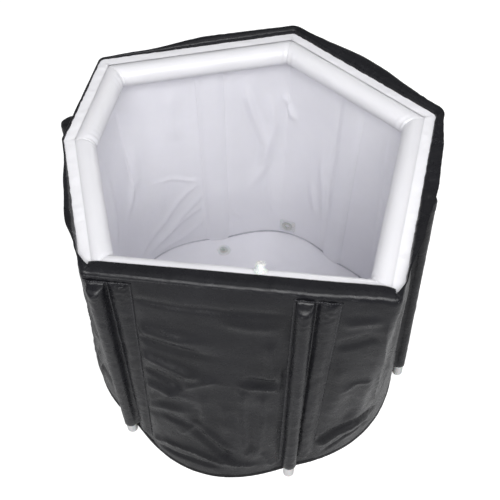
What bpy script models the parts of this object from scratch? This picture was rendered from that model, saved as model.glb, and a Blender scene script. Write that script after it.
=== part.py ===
"""Portable ice bath tub: a soft tub held up by rods in sewn sleeves.

Metres, +Z up.  The origin is on the ground at the centre of the round base,
and the side seen in front faces -Y.  The wall is a ruled surface between the
round base, which bulges a little between the rods, and an uneven six-sided rim.
"""
import math

import bmesh
import bpy
from mathutils import Matrix, Vector

# Overall sizes
HEIGHT = 0.75
HEM_RISE = 0.015
RIM_HEIGHT = HEIGHT - HEM_RISE
BASE_RADIUS = 0.378
BASE_BULGE = 0.026
BULGE_POWER = 1.4
TOP_RADIUS = 0.44
TOP_CORNER_RADIUS = 0.016

# The rim's corners: azimuth in degrees, and distance as a share of TOP_RADIUS
TOP_CORNER_AZIMUTHS = (15.1, 74.1, 138.3, 174.0, 225.5, 305.5)
TOP_CORNER_SHARES = (0.973, 0.932, 1.034, 0.901, 1.030, 1.108)

# The rods: azimuths in degrees of foot and head, the base's radius at each rod and its bulge
# after each rod, as shares
ROD_FOOT_AZIMUTHS = (47.0, 101.0, 164.0, 220.8, 284.0, 346.3)
ROD_HEAD_AZIMUTHS = (41.0, 102.0, 164.0, 228.5, 286.0, 342.8)
ROD_BASE_SHARES = (1.0, 1.0, 1.0, 1.0, 1.0, 1.03)
BULGE_SHARES = (1.0, 1.0, 0.9, 0.85, 0.5, 1.0)

# Skins of the wall and base
COVER_THICKNESS = 0.0015
FOAM_THICKNESS = 0.005
LINER_THICKNESS = 0.0010
STRIP_THICKNESS = 0.0008
STRIP_WIDTH = 0.066
STRIP_TOP_CLEARANCE = 0.006
STRIP_REACH = 0.100
TOUCH_GAP = 0.0003
COVER_EASE = 0.0028
PIPING_RADIUS = 0.0018

# Folds in the cover
FOLD_HEIGHT = 0.009
FOLD_WIDTH = 0.030
FOLD_MARGIN = 0.030

# Hem round the rim
HEM_THICKNESS = 0.0025
HEM_LEAN = 0.034

# Inflated ring and its flange
RING_RADIUS = 0.0265
RING_WALL = 0.0008
RING_CLEARANCE = 0.0008
FLANGE_THICKNESS = 0.0012

# Rods, plugs and sleeves
ROD_RADIUS = 0.0130
ROD_WALL = 0.0025
ROD_SEAT = 0.0030
PLUG_HEAD = 0.0050
PLUG_STEM = 0.0140
PLUG_EDGE = 0.0015
PLUG_CLEARANCE = 0.0003
SLEEVE_THICKNESS = 0.0012
SLEEVE_GAP = 0.0010
POCKET_WIDTH = 0.040
POCKET_CLEARANCE = 0.0015
SPARE_POCKET_HEIGHT = 0.0075
SEAM_WIDTH = 0.0025
SLEEVE_FOOT_HEIGHT = 0.055
SLEEVE_HEAD_DROP = 0.008
SLEEVE_DOME = 0.014

# A sleeve's section: the spare pocket's places across and heights, as shares, and how the
# section flattens towards its closed top, as (share of the dome, share of the section)
SPARE_POCKET_SHARES = ((0.2, 0.6), (0.5, 1.0), (0.8, 0.6))
SLEEVE_DOME_SHARES = ((0.67, 0.72), (1.0, 0.05))

# Wall drain
WALL_DRAIN_AZIMUTH = 72.0
WALL_DRAIN_HEIGHT = 0.046
DRAIN_PATCH_SIZE = 0.046
DRAIN_PATCH_THICKNESS = 0.0010
DRAIN_PATCH_CORNER = 0.005
DRAIN_TAIL_RADIUS = 0.0110
DRAIN_BORE_RADIUS = 0.0075
DRAIN_COLLAR_RADIUS = 0.0165
DRAIN_COLLAR_THICKNESS = 0.0025
DRAIN_TAIL_LENGTH = 0.030
DRAIN_WASHER_THICKNESS = 0.0020
DRAIN_NUT_RADIUS = 0.0195
DRAIN_NUT_THICKNESS = 0.0070
DRAIN_WALL_CLEARANCE = 0.0006
RUN_CLEARANCE = 0.0004
CAP_WALL = 0.0024
CAP_END = 0.0025
CAP_DEPTH = 0.0120
CAP_RIB_DEPTH = 0.0006
CAP_SEAL_THICKNESS = 0.0018
TETHER_THICKNESS = 0.0014
TETHER_RIM = 0.0030
TETHER_WIDTH = 0.0060
TETHER_REACH = 0.0080

# Floor drain; its distance from the centre is a share of BASE_RADIUS
FLOOR_DRAIN_AZIMUTH = 103.1
FLOOR_DRAIN_SHARE = 0.85
FLOOR_FLANGE_RADIUS = 0.0200
FLOOR_FLANGE_THICKNESS = 0.0028
FLOOR_TAIL_RADIUS = 0.0110
FLOOR_BORE_RADIUS = 0.0082
FLOOR_TAIL_GROUND_CLEARANCE = 0.0008
FLOOR_RING_WIDTH = 0.0045
STOPPER_HEAD_THICKNESS = 0.0016
STOPPER_TAB_HEIGHT = 0.0050
STOPPER_TAB_WIDTH = 0.0080
STOPPER_TAB_THICKNESS = 0.0016

# Inflation valve
VALVE_X = 0.022
VALVE_TILT = 30.0
VALVE_FOOT_RADIUS = 0.0150
VALVE_NECK_RADIUS = 0.0080
VALVE_BORE_RADIUS = 0.0040
VALVE_FOOT_HEIGHT = 0.0050
VALVE_NECK_HEIGHT = 0.0130
VALVE_CAP_RADIUS = 0.0100
VALVE_CAP_THICKNESS = 0.0022
VALVE_LIP_DEPTH = 0.0012
VALVE_STRAP_WIDTH = 0.0050
VALVE_STRAP_THICKNESS = 0.0012

# Sampling
ARC_STEPS = 8
SIDE_STEPS = 24
STATION_STEPS = 3
COVER_STATION_STEPS = 2
WALL_LEVELS = 6
NORMAL_SPAN = 0.004
CUT_OVERRUN = 0.010
ROUND_SIDES = 16
ROD_SIDES = 12
RING_SIDES = 18
PIPING_SIDES = 6
SEAT_SIDES = 48
SPAN_STEPS = 4
HEM_STEPS = 3
MERGE_DISTANCE = 0.00003

COVER_COLLECTION = "ice_bath_tub"


def clear_scene():
    """Remove what the file starts with."""
    for item in list(bpy.data.objects):
        bpy.data.objects.remove(item, do_unlink=True)


def make_collection(name):
    collection = bpy.data.collections.new(name)
    bpy.context.scene.collection.children.link(collection)
    return collection


def make_material(name, colour, roughness, metallic=0.0, alpha=1.0):
    material = bpy.data.materials.new(name)
    material.use_nodes = True
    shader = material.node_tree.nodes["Principled BSDF"]
    shader.inputs["Base Color"].default_value = (*colour, 1.0)
    shader.inputs["Roughness"].default_value = roughness
    shader.inputs["Metallic"].default_value = metallic
    shader.inputs["Alpha"].default_value = alpha
    return material


clear_scene()
PARTS = make_collection(COVER_COLLECTION)
CUTTERS = make_collection("cutters")
CUTTERS.hide_render = True

NYLON = make_material("coated_nylon", (0.035, 0.035, 0.040), 0.45)
HEM_NYLON = make_material("hem_nylon", (0.025, 0.025, 0.029), 0.55)
FOAM = make_material("foam", (0.80, 0.82, 0.84), 0.85)
LINER = make_material("liner_pvc", (0.78, 0.78, 0.84), 0.50)
RING_PVC = make_material("ring_pvc", (0.92, 0.92, 0.93), 0.35)
ROD_PVC = make_material("rod_pvc", (0.85, 0.85, 0.85), 0.40)
CLEAR_PVC = make_material("clear_pvc", (0.70, 0.71, 0.68), 0.30)
SEAL_RUBBER = make_material("seal_rubber", (0.05, 0.05, 0.05), 0.80)


# Plan curves

def polar(radius, azimuth):
    """A plan point from a distance and an azimuth in degrees."""
    angle = math.radians(azimuth)
    return Vector((radius * math.cos(angle), radius * math.sin(angle)))


def right_of(direction):
    """The plan direction a quarter turn clockwise: outward on a curve walked anticlockwise."""
    return Vector((direction.y, -direction.x))


def blend(a, b, share):
    return a + (b - a) * share


TOP_CORNERS = [polar(TOP_RADIUS * share, azimuth)
               for share, azimuth in zip(TOP_CORNER_SHARES, TOP_CORNER_AZIMUTHS)]
SIDE_COUNT = len(TOP_CORNERS)
ROD_COUNT = len(ROD_FOOT_AZIMUTHS)


def side_direction(index):
    start = TOP_CORNERS[index % SIDE_COUNT]
    end = TOP_CORNERS[(index + 1) % SIDE_COUNT]
    return (end - start).normalized()


def half_turn(index):
    """Half the angle that the rim turns at a corner."""
    before = side_direction(index - 1)
    return before.angle(side_direction(index)) / 2


def corner_normal(index):
    """Outward bisector of a corner."""
    both = right_of(side_direction(index - 1)) + right_of(side_direction(index))
    return both.normalized()


def offset_corner(index, depth):
    """The corner of the rim's straight-sided outline moved inward by depth."""
    return TOP_CORNERS[index] - corner_normal(index) * (depth / math.cos(half_turn(index)))


def top_curve():
    """Rounded rim, walked anticlockwise: points, outward normals, and which are corner middles."""
    points = []
    normals = []
    middles = []
    for index in range(SIDE_COUNT):
        turn = half_turn(index)
        bisector = corner_normal(index)
        centre = TOP_CORNERS[index] - bisector * (TOP_CORNER_RADIUS / math.cos(turn))
        middle_angle = math.atan2(bisector.y, bisector.x)
        for step in range(ARC_STEPS + 1):
            angle = middle_angle + turn * (2 * step / ARC_STEPS - 1)
            normal = Vector((math.cos(angle), math.sin(angle)))
            points.append(centre + normal * TOP_CORNER_RADIUS)
            normals.append(normal)
            middles.append(index if step == ARC_STEPS // 2 else None)
        following = (index + 1) % SIDE_COUNT
        reach = TOP_CORNER_RADIUS * math.tan(half_turn(following))
        side_end = TOP_CORNERS[following] - side_direction(index) * reach
        side_start = points[-1].copy()
        side_normal = right_of(side_direction(index))
        for step in range(1, SIDE_STEPS):
            points.append(blend(side_start, side_end, step / SIDE_STEPS))
            normals.append(side_normal)
            middles.append(None)
    return points, normals, middles


TOP_POINTS, TOP_NORMALS, CORNER_MIDDLES = top_curve()
DENSE_COUNT = len(TOP_POINTS)


def azimuth_of(point):
    return math.degrees(math.atan2(point.y, point.x)) % 360


def head_place(azimuth):
    """Fractional index on the rim where it crosses an azimuth."""
    for index in range(DENSE_COUNT):
        here = azimuth_of(TOP_POINTS[index])
        step = (azimuth_of(TOP_POINTS[(index + 1) % DENSE_COUNT]) - here) % 360
        ahead = (azimuth - here) % 360
        if ahead < step:
            return index + ahead / step
    raise ValueError("the rim does not cross this azimuth")


HEAD_PLACES = [head_place(azimuth) for azimuth in ROD_HEAD_AZIMUTHS]


def walk_lengths(points):
    """Length along a closed curve from its first point to each point, and once round."""
    lengths = [0.0]
    for index, point in enumerate(points):
        lengths.append(lengths[-1] + (points[(index + 1) % len(points)] - point).length)
    return lengths


TOP_LENGTHS = walk_lengths(TOP_POINTS)


def length_at(lengths, place):
    whole = int(place)
    return blend(lengths[whole], lengths[whole + 1], place - whole)


HEAD_LENGTHS = [length_at(TOP_LENGTHS, place) for place in HEAD_PLACES]


def sector_share(length):
    """Which rod a place on the rim follows, and its share of the way to the next rod."""
    whole = TOP_LENGTHS[-1]
    for rod in range(ROD_COUNT):
        span = (HEAD_LENGTHS[(rod + 1) % ROD_COUNT] - HEAD_LENGTHS[rod]) % whole
        ahead = (length - HEAD_LENGTHS[rod]) % whole
        if ahead < span:
            return rod, ahead / span
    return 0, 0.0


SECTORS = [sector_share(TOP_LENGTHS[index]) for index in range(DENSE_COUNT)]


def eased(share):
    return share * share * (3 - 2 * share)


def base_point(rod, share):
    """Base outline between a rod and the next: round, with a bulge between rods."""
    following = (rod + 1) % ROD_COUNT
    start = ROD_FOOT_AZIMUTHS[rod]
    span = (ROD_FOOT_AZIMUTHS[following] - start) % 360
    radius = BASE_RADIUS * blend(ROD_BASE_SHARES[rod], ROD_BASE_SHARES[following], eased(share))
    bulge = BASE_BULGE * BULGE_SHARES[rod] * math.sin(math.pi * share) ** BULGE_POWER
    return polar(radius + bulge, start + span * share)


BASE_POINTS = [base_point(rod, share) for rod, share in SECTORS]


class Curve:
    """The wall's outline at one height, walked by its length."""

    def __init__(self, height):
        share = height / RIM_HEIGHT
        self.points = [blend(low, high, share) for low, high in zip(BASE_POINTS, TOP_POINTS)]
        self.lengths = walk_lengths(self.points)

    def point(self, length):
        length = length % self.lengths[-1]
        low = 0
        high = DENSE_COUNT
        while high - low > 1:
            middle = (low + high) // 2
            if self.lengths[middle] <= length:
                low = middle
            else:
                high = middle
        span = self.lengths[low + 1] - self.lengths[low]
        share = (length - self.lengths[low]) / span
        return blend(self.points[low], self.points[(low + 1) % DENSE_COUNT], share)

    def normal(self, length):
        ahead = self.point(length + NORMAL_SPAN)
        behind = self.point(length - NORMAL_SPAN)
        return right_of((ahead - behind).normalized())


CURVES = {}


def wall_curve(height):
    if height not in CURVES:
        CURVES[height] = Curve(height)
    return CURVES[height]


def wall_station(index, height, offset):
    """A point at a dense index of the wall, moved out of the wall's outer face by offset."""
    curve = wall_curve(height)
    length = curve.lengths[index]
    flat = curve.points[index] + curve.normal(length) * offset
    return Vector((flat.x, flat.y, height))


def wall_beside_rod(rod, along, height, offset):
    """A point beside a rod, at a distance along the wall, moved outward by offset."""
    curve = wall_curve(height)
    length = length_at(curve.lengths, HEAD_PLACES[rod]) + along
    flat = curve.point(length) + curve.normal(length) * offset
    return Vector((flat.x, flat.y, height))


def stations(step):
    """Dense indices used by a mesh: the start, middle and end of each corner, and steps along sides."""
    chosen = []
    per_side = ARC_STEPS + SIDE_STEPS
    for side in range(SIDE_COUNT):
        first = side * per_side
        chosen += [first, first + ARC_STEPS // 2, first + ARC_STEPS]
        chosen += [first + ARC_STEPS + along for along in range(step, SIDE_STEPS, step)]
    return chosen


STATIONS = stations(STATION_STEPS)
COVER_STATIONS = stations(COVER_STATION_STEPS)


# Mesh helpers

def add_object(name, mesh, material, collection=None):
    item = bpy.data.objects.new(name, mesh)
    (collection or PARTS).objects.link(item)
    if material:
        mesh.materials.append(material)
    return item


def finish_mesh(name, bm, material, smooth_angle=40.0):
    """Turn a bmesh into an object with its faces pointing out."""
    bmesh.ops.recalc_face_normals(bm, faces=bm.faces)
    mesh = bpy.data.meshes.new(name)
    bm.to_mesh(mesh)
    bm.free()
    mesh.shade_smooth()
    mesh.set_sharp_from_angle(angle=math.radians(smooth_angle))
    return add_object(name, mesh, material)


def add_quad(bm, corners, outward):
    """Two triangles on four points, split along the diagonal that lies farther out, or farther in."""
    first, second, third, fourth = corners
    one = (first.co + third.co).xy.length
    other = (second.co + fourth.co).xy.length
    if (one > other) == outward:
        bm.faces.new((first, second, third))
        bm.faces.new((first, third, fourth))
    else:
        bm.faces.new((second, third, fourth))
        bm.faces.new((second, fourth, first))


def band(name, sections, material):
    """A closed ring of a solid: each section is a closed loop of points, in order round the ring."""
    bm = bmesh.new()
    rows = [[bm.verts.new(point) for point in section] for section in sections]
    for row, following in zip(rows, rows[1:] + rows[:1]):
        for index in range(len(row)):
            beside = (index + 1) % len(row)
            add_quad(bm, (row[index], row[beside], following[beside], following[index]), False)
    return finish_mesh(name, bm, material)


def slab(name, outer, inner, material, outward):
    """A sheet with thickness between two equal grids of points."""
    bm = bmesh.new()
    front = [[bm.verts.new(point) for point in row] for row in outer]
    back = [[bm.verts.new(point) for point in row] for row in inner]
    rows = len(front)
    columns = len(front[0])
    for grid in (front, back):
        for row in range(rows - 1):
            for column in range(columns - 1):
                corners = (grid[row][column], grid[row][column + 1],
                           grid[row + 1][column + 1], grid[row + 1][column])
                add_quad(bm, corners, outward)
    for row in range(rows - 1):
        for column in (0, columns - 1):
            bm.faces.new((front[row][column], front[row + 1][column],
                          back[row + 1][column], back[row][column]))
    for column in range(columns - 1):
        for row in (0, rows - 1):
            bm.faces.new((front[row][column], front[row][column + 1],
                          back[row][column + 1], back[row][column]))
    return finish_mesh(name, bm, material)


def plate(name, outline, low, high, material):
    """A flat plate from a closed plan outline."""
    bm = bmesh.new()
    face = bm.faces.new([bm.verts.new((point.x, point.y, low)) for point in outline])
    raised = bmesh.ops.extrude_face_region(bm, geom=[face])
    lifted = [item for item in raised["geom"] if isinstance(item, bmesh.types.BMVert)]
    bmesh.ops.translate(bm, vec=(0, 0, high - low), verts=lifted)
    return finish_mesh(name, bm, material)


def turned(name, profile, material, sides=ROUND_SIDES):
    """A turned solid: the profile is (radius, height) pairs, down the outer side first."""
    bm = bmesh.new()
    points = [bm.verts.new((radius, 0, height)) for radius, height in profile]
    for start, end in zip(points, points[1:]):
        bm.edges.new((start, end))
    if profile[0][0] > 0:
        bm.edges.new((points[-1], points[0]))
    mesh = bpy.data.meshes.new(name)
    bm.to_mesh(mesh)
    bm.free()
    item = add_object(name, mesh, material)
    screw = item.modifiers.new("turn", "SCREW")
    screw.steps = sides
    screw.render_steps = sides
    screw.use_merge_vertices = True
    screw.merge_threshold = MERGE_DISTANCE
    screw.use_smooth_shade = False
    return item


def cylinder(name, radius, length, material, sides=ROUND_SIDES, collection=None):
    """A cylinder whose middle is at its origin, along its own Z."""
    bm = bmesh.new()
    bmesh.ops.create_cone(bm, cap_ends=True, segments=sides, radius1=radius, radius2=radius, depth=length)
    mesh = bpy.data.meshes.new(name)
    bm.to_mesh(mesh)
    bm.free()
    return add_object(name, mesh, material, collection)


def box(name, width, depth, height):
    """A box cutter whose middle is at its origin."""
    bm = bmesh.new()
    bmesh.ops.create_cube(bm, size=1.0)
    bmesh.ops.scale(bm, vec=(width, depth, height), verts=bm.verts)
    mesh = bpy.data.meshes.new(name)
    bm.to_mesh(mesh)
    bm.free()
    return add_object(name, mesh, None, CUTTERS)


def cut(item, cutter, operation="DIFFERENCE"):
    """Take a cutter's shape out of an item, or keep only what lies inside it."""
    cutter.hide_render = True
    cutter.display_type = "WIRE"
    modifier = item.modifiers.new("cut", "BOOLEAN")
    modifier.operation = operation
    modifier.solver = "EXACT"
    modifier.object = cutter


def along_axis(origin, axis, lengthwise=Vector((0, 0, 1))):
    """Matrix that stands an object's Z along axis, with its Y as near lengthwise as it can be."""
    z_axis = axis.normalized()
    x_axis = lengthwise.cross(z_axis).normalized()
    y_axis = z_axis.cross(x_axis)
    turn = Matrix((x_axis, y_axis, z_axis)).transposed().to_4x4()
    return Matrix.Translation(origin) @ turn


# Heights and depths shared by the skins

BASE_TOP = COVER_THICKNESS
PIPING_HEIGHT = BASE_TOP + TOUCH_GAP + PIPING_RADIUS
COVER_FOOT = PIPING_HEIGHT + PIPING_RADIUS + TOUCH_GAP
FOAM_BASE_LOW = BASE_TOP + TOUCH_GAP
FOAM_BASE_HIGH = FOAM_BASE_LOW + FOAM_THICKNESS
FLOOR_LOW = FOAM_BASE_HIGH + TOUCH_GAP
FLOOR_HIGH = FLOOR_LOW + LINER_THICKNESS
FOAM_OUTER = COVER_THICKNESS + COVER_EASE
FOAM_INNER = FOAM_OUTER + FOAM_THICKNESS
LINER_OUTER = FOAM_INNER + TOUCH_GAP
LINER_INNER = LINER_OUTER + LINER_THICKNESS
STRIP_OUTER = LINER_INNER + TOUCH_GAP
STRIP_INNER = STRIP_OUTER + STRIP_THICKNESS
FLANGE_HIGH = RIM_HEIGHT
FLANGE_LOW = FLANGE_HIGH - FLANGE_THICKNESS
SKIN_TOP = FLANGE_LOW - TOUCH_GAP
RING_ANGLE = math.radians(45)
RING_HEIGHT = FLANGE_LOW - TOUCH_GAP - RING_RADIUS * math.sin(RING_ANGLE)


def ring_seat():
    """Depth from the rim at which the ring's outside meets the leaning liner, mitres included."""
    depths = []
    for index in STATIONS:
        inner = wall_station(index, RING_HEIGHT, -LINER_INNER).xy
        corner = CORNER_MIDDLES[index]
        if corner is None:
            depths.append((TOP_POINTS[index] - inner).dot(TOP_NORMALS[index]))
        else:
            reach = (TOP_CORNERS[corner] - inner).dot(corner_normal(corner))
            depths.append(reach * math.cos(half_turn(corner)))
    return max(depths)


RING_DEPTH = ring_seat() + RING_CLEARANCE + RING_RADIUS
FLANGE_DEPTH = RING_DEPTH - RING_RADIUS * math.cos(RING_ANGLE) - TOUCH_GAP


def levels(low, high, count=WALL_LEVELS):
    return [blend(low, high, index / (count - 1)) for index in range(count)]


def wall_layer(name, outer, inner, low, high, material):
    """One skin of the wall, from one depth behind the outer face to another."""
    heights = levels(low, high)
    sections = []
    for index in STATIONS:
        rising = [wall_station(index, height, -outer) for height in heights]
        falling = [wall_station(index, height, -inner) for height in reversed(heights)]
        sections.append(rising + falling)
    return band(name, sections, material)


# Cover

# Main folds: rod they follow, then start and end as shares of the way to the next rod
# and of the rim's height, and their height as a share of FOLD_HEIGHT
FOLD_SHARES = (
    (3, 0.16, 0.62, 0.62, 0.42, 0.9),
    (3, 0.14, 0.30, 0.70, 0.10, 1.1),
    (3, 0.80, 0.12, 0.84, 0.40, 0.9),
    (3, 0.62, 0.34, 0.60, 0.62, 0.5),
    (4, 0.22, 0.14, 0.80, 0.30, 1.2),
    (4, 0.42, 0.40, 0.52, 0.72, 0.7),
    (5, 0.40, 0.20, 0.62, 0.66, 0.8),
    (0, 0.35, 0.24, 0.60, 0.60, 0.8),
    (1, 0.40, 0.62, 0.62, 0.22, 0.8),
    (2, 0.35, 0.20, 0.62, 0.58, 0.8),
)


def fold_height(rod, share, height):
    """How far the cover's folds stand out at a place on the wall, easing to nothing by the sleeves."""
    turn = (ROD_FOOT_AZIMUTHS[(rod + 1) % ROD_COUNT] - ROD_FOOT_AZIMUTHS[rod]) % 360
    span = math.radians(turn) * BASE_RADIUS
    total = 0.0
    for fold_rod, start, start_high, end, end_high, size in FOLD_SHARES:
        if fold_rod != rod:
            continue
        place = Vector((share * span, height))
        low = Vector((start * span, start_high * RIM_HEIGHT))
        line = Vector((end * span, end_high * RIM_HEIGHT)) - low
        along = (place - low).dot(line) / line.length_squared
        along = min(max(along, 0.0), 1.0)
        away = (place - low - line * along).length / FOLD_WIDTH
        total += size * FOLD_HEIGHT * math.exp(-away * away)
    after = share * span - POCKET_WIDTH - POCKET_WIDTH / 2 - FOLD_MARGIN
    before = (1 - share) * span - POCKET_WIDTH / 2 - FOLD_MARGIN
    return total * min(max(min(after, before) / FOLD_WIDTH, 0.0), 1.0)


def build_cover():
    heights = levels(COVER_FOOT, RIM_HEIGHT)
    sections = []
    for index in COVER_STATIONS:
        rod, share = SECTORS[index]
        outer = []
        inner = []
        for row, height in enumerate(heights):
            ends = row in (0, len(heights) - 1)
            lift = 0.0 if ends else fold_height(rod, share, height)
            outer.append(wall_station(index, height, lift))
            inner.append(wall_station(index, height, lift - COVER_THICKNESS))
        sections.append(outer + inner[::-1])
    cover = band("cover_wall", sections, NYLON)
    outline = [wall_station(index, 0.0, 0.0) for index in STATIONS]
    base = plate("cover_base", outline, 0.0, BASE_TOP, NYLON)
    return cover, base


def build_piping():
    """Round cord sewn into the bottom edge."""
    middle = -COVER_THICKNESS / 2
    sections = []
    for index in STATIONS:
        section = []
        for side in range(PIPING_SIDES):
            angle = 2 * math.pi * side / PIPING_SIDES
            height = PIPING_HEIGHT + PIPING_RADIUS * math.sin(angle)
            section.append(wall_station(index, height, middle + PIPING_RADIUS * math.cos(angle)))
        sections.append(section)
    return band("base_piping", sections, HEM_NYLON)


# Hem round the rim: azimuth in degrees, lean as a share of HEM_LEAN (out is +), rise as a share
HEM_SHARES = (
    (0.0, 0.75, 0.55),
    (15.0, 0.45, 0.60),
    (45.0, 0.95, 0.70),
    (74.0, 0.35, 0.80),
    (104.0, 0.45, 0.80),
    (128.0, 0.10, 0.35),
    (140.0, 0.02, 0.20),
    (180.0, 0.05, 0.20),
    (195.0, 0.30, 0.45),
    (208.0, 0.45, 0.75),
    (218.0, 0.10, 1.00),
    (229.0, -0.90, 0.75),
    (260.0, -1.00, 0.60),
    (290.0, -1.00, 0.65),
    (302.0, -0.95, 0.95),
    (311.0, 0.05, 1.00),
    (325.0, 0.55, 0.80),
    (345.0, 0.85, 0.60),
    (360.0, 0.75, 0.55),
)


def hem_shares(azimuth):
    """Lean and rise of the hem at an azimuth, read between the rows of the table."""
    for before, after in zip(HEM_SHARES, HEM_SHARES[1:]):
        if before[0] <= azimuth <= after[0]:
            share = (azimuth - before[0]) / (after[0] - before[0])
            return blend(before[1], after[1], eased(share)), blend(before[2], after[2], eased(share))
    raise ValueError("the hem's table does not hold this azimuth")


def build_hem():
    """The cover's top edge, doubled, leaning out at the back and in over the ring in front."""
    foot = RIM_HEIGHT + TOUCH_GAP
    sections = []
    for index in STATIONS:
        point = TOP_POINTS[index]
        normal = TOP_NORMALS[index]
        lean, rise = hem_shares(azimuth_of(point))
        outer = []
        inner = []
        for step in range(HEM_STEPS + 1):
            angle = math.pi / 2 * step / HEM_STEPS
            out = lean * HEM_LEAN * (1 - math.cos(angle))
            high = foot + rise * (HEM_RISE - TOUCH_GAP) * math.sin(angle)
            outer.append((out, high))
            inner.append((out - HEM_THICKNESS, high))
        section = []
        for out, high in outer + inner[::-1]:
            flat = point + normal * out
            section.append(Vector((flat.x, flat.y, high)))
        sections.append(section)
    return band("top_hem", sections, HEM_NYLON)


# Foam and liner

def build_foam():
    wall = wall_layer("foam_wall", FOAM_OUTER, FOAM_INNER, FLOOR_LOW, SKIN_TOP, FOAM)
    outline = [wall_station(index, 0.0, -FOAM_OUTER) for index in STATIONS]
    base = plate("foam_base", outline, FOAM_BASE_LOW, FOAM_BASE_HIGH, FOAM)
    return wall, base


def build_liner():
    foot = FLOOR_HIGH + TOUCH_GAP
    wall = wall_layer("liner_wall", LINER_OUTER, LINER_INNER, foot, SKIN_TOP, LINER)
    outline = [wall_station(index, FLOOR_LOW, -LINER_OUTER) for index in STATIONS]
    floor = plate("liner_floor", outline, FLOOR_LOW, FLOOR_HIGH, LINER)
    return wall, floor


def build_strips():
    """Bands welded to the inside of the liner, opposite the sleeves."""
    foot = FLOOR_HIGH + TOUCH_GAP
    top = RING_HEIGHT - RING_RADIUS * math.sin(RING_ANGLE) - STRIP_TOP_CLEARANCE
    for rod in range(ROD_COUNT):
        start = wall_beside_rod(rod, POCKET_WIDTH / 2, 0.0, -STRIP_OUTER)
        end = wall_beside_rod(rod, POCKET_WIDTH / 2, top, -STRIP_OUTER)
        beside = wall_beside_rod(rod, POCKET_WIDTH / 2 + NORMAL_SPAN, top / 2, -STRIP_OUTER)
        across = beside - (start + end) / 2
        cutter = box(f"liner_strip_cutter_{rod + 1}", STRIP_REACH, STRIP_WIDTH, (end - start).length)
        cutter.matrix_world = along_axis((start + end) / 2, end - start, across)
        strip = wall_layer(f"liner_strip_{rod + 1}", STRIP_OUTER, STRIP_INNER, foot, SKIN_TOP, LINER)
        cut(strip, cutter, "INTERSECT")


# Inflated ring

def build_ring():
    """One tube round the rim, mitred at the corners, with a hole for the valve."""
    sections = []
    for index in range(SIDE_COUNT):
        centre = offset_corner(index, RING_DEPTH)
        outward = corner_normal(index) / math.cos(half_turn(index))
        section = []
        for side in range(RING_SIDES):
            angle = 2 * math.pi * side / RING_SIDES
            flat = centre + outward * (RING_RADIUS * math.cos(angle))
            section.append(Vector((flat.x, flat.y, RING_HEIGHT + RING_RADIUS * math.sin(angle))))
        sections.append(section)
    ring = band("air_ring", sections, RING_PVC)
    hollow = ring.modifiers.new("hollow", "SOLIDIFY")
    hollow.thickness = RING_WALL
    hollow.offset = -1
    hollow.use_even_offset = True
    return ring


def build_flange():
    """Flat strip from the ring's shoulder out to the rim."""
    sections = []
    edge = COVER_THICKNESS + TOUCH_GAP
    for index in STATIONS:
        point = TOP_POINTS[index]
        normal = TOP_NORMALS[index]
        corner = CORNER_MIDDLES[index]
        depth = FLANGE_DEPTH
        if corner is not None:
            widen = 1 / math.cos(half_turn(corner))
            depth = FLANGE_DEPTH * widen - TOP_CORNER_RADIUS * (widen - 1)
        outer = point - normal * edge
        inner = point - normal * depth
        sections.append([Vector((outer.x, outer.y, FLANGE_LOW)), Vector((outer.x, outer.y, FLANGE_HIGH)),
                         Vector((inner.x, inner.y, FLANGE_HIGH)), Vector((inner.x, inner.y, FLANGE_LOW))])
    return band("ring_flange", sections, RING_PVC)


# Rods and sleeves

SLEEVE_TOP = RIM_HEIGHT - SLEEVE_HEAD_DROP
ROD_TOP = SLEEVE_TOP - SLEEVE_DOME - TOUCH_GAP
ROD_AXIS_OFFSET = ROD_SEAT + ROD_RADIUS


def rod_line(rod):
    """Where a rod's axis meets the ground, and its direction."""
    foot = wall_beside_rod(rod, 0.0, 0.0, ROD_AXIS_OFFSET)
    head = wall_beside_rod(rod, 0.0, ROD_TOP, ROD_AXIS_OFFSET)
    return foot, (head - foot).normalized()


def build_rod(rod):
    """A pipe with a plug in each end; its axis starts where its tilted foot just meets the ground."""
    foot, axis = rod_line(rod)
    lift = ROD_RADIUS * math.tan(axis.angle(Vector((0, 0, 1))))
    length = (ROD_TOP - foot.z) / axis.z - lift
    frame = bpy.data.objects.new(f"rod_axis_{rod + 1}", None)
    PARTS.objects.link(frame)
    frame.matrix_world = along_axis(foot + axis * lift, axis, Vector((0, 1, 0)))
    low = PLUG_HEAD + TOUCH_GAP
    high = length - PLUG_HEAD - TOUCH_GAP
    inner = ROD_RADIUS - ROD_WALL
    pipe = turned(f"rod_{rod + 1}", [(ROD_RADIUS, high), (ROD_RADIUS, low), (inner, low), (inner, high)],
                  ROD_PVC, ROD_SIDES)
    stem = inner - PLUG_CLEARANCE
    profile = [(0, PLUG_HEAD + PLUG_STEM), (stem, PLUG_HEAD + PLUG_STEM), (stem, PLUG_HEAD),
               (ROD_RADIUS, PLUG_HEAD), (ROD_RADIUS, PLUG_EDGE), (ROD_RADIUS - PLUG_EDGE, 0), (0, 0)]
    foot_plug = turned(f"rod_foot_{rod + 1}", profile, ROD_PVC, ROD_SIDES)
    head_plug = turned(f"rod_head_{rod + 1}", profile, ROD_PVC, ROD_SIDES)
    for piece in (pipe, foot_plug, head_plug):
        piece.parent = frame
    head_plug.location = (0, 0, length)
    head_plug.rotation_euler = (math.pi, 0, 0)


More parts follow.
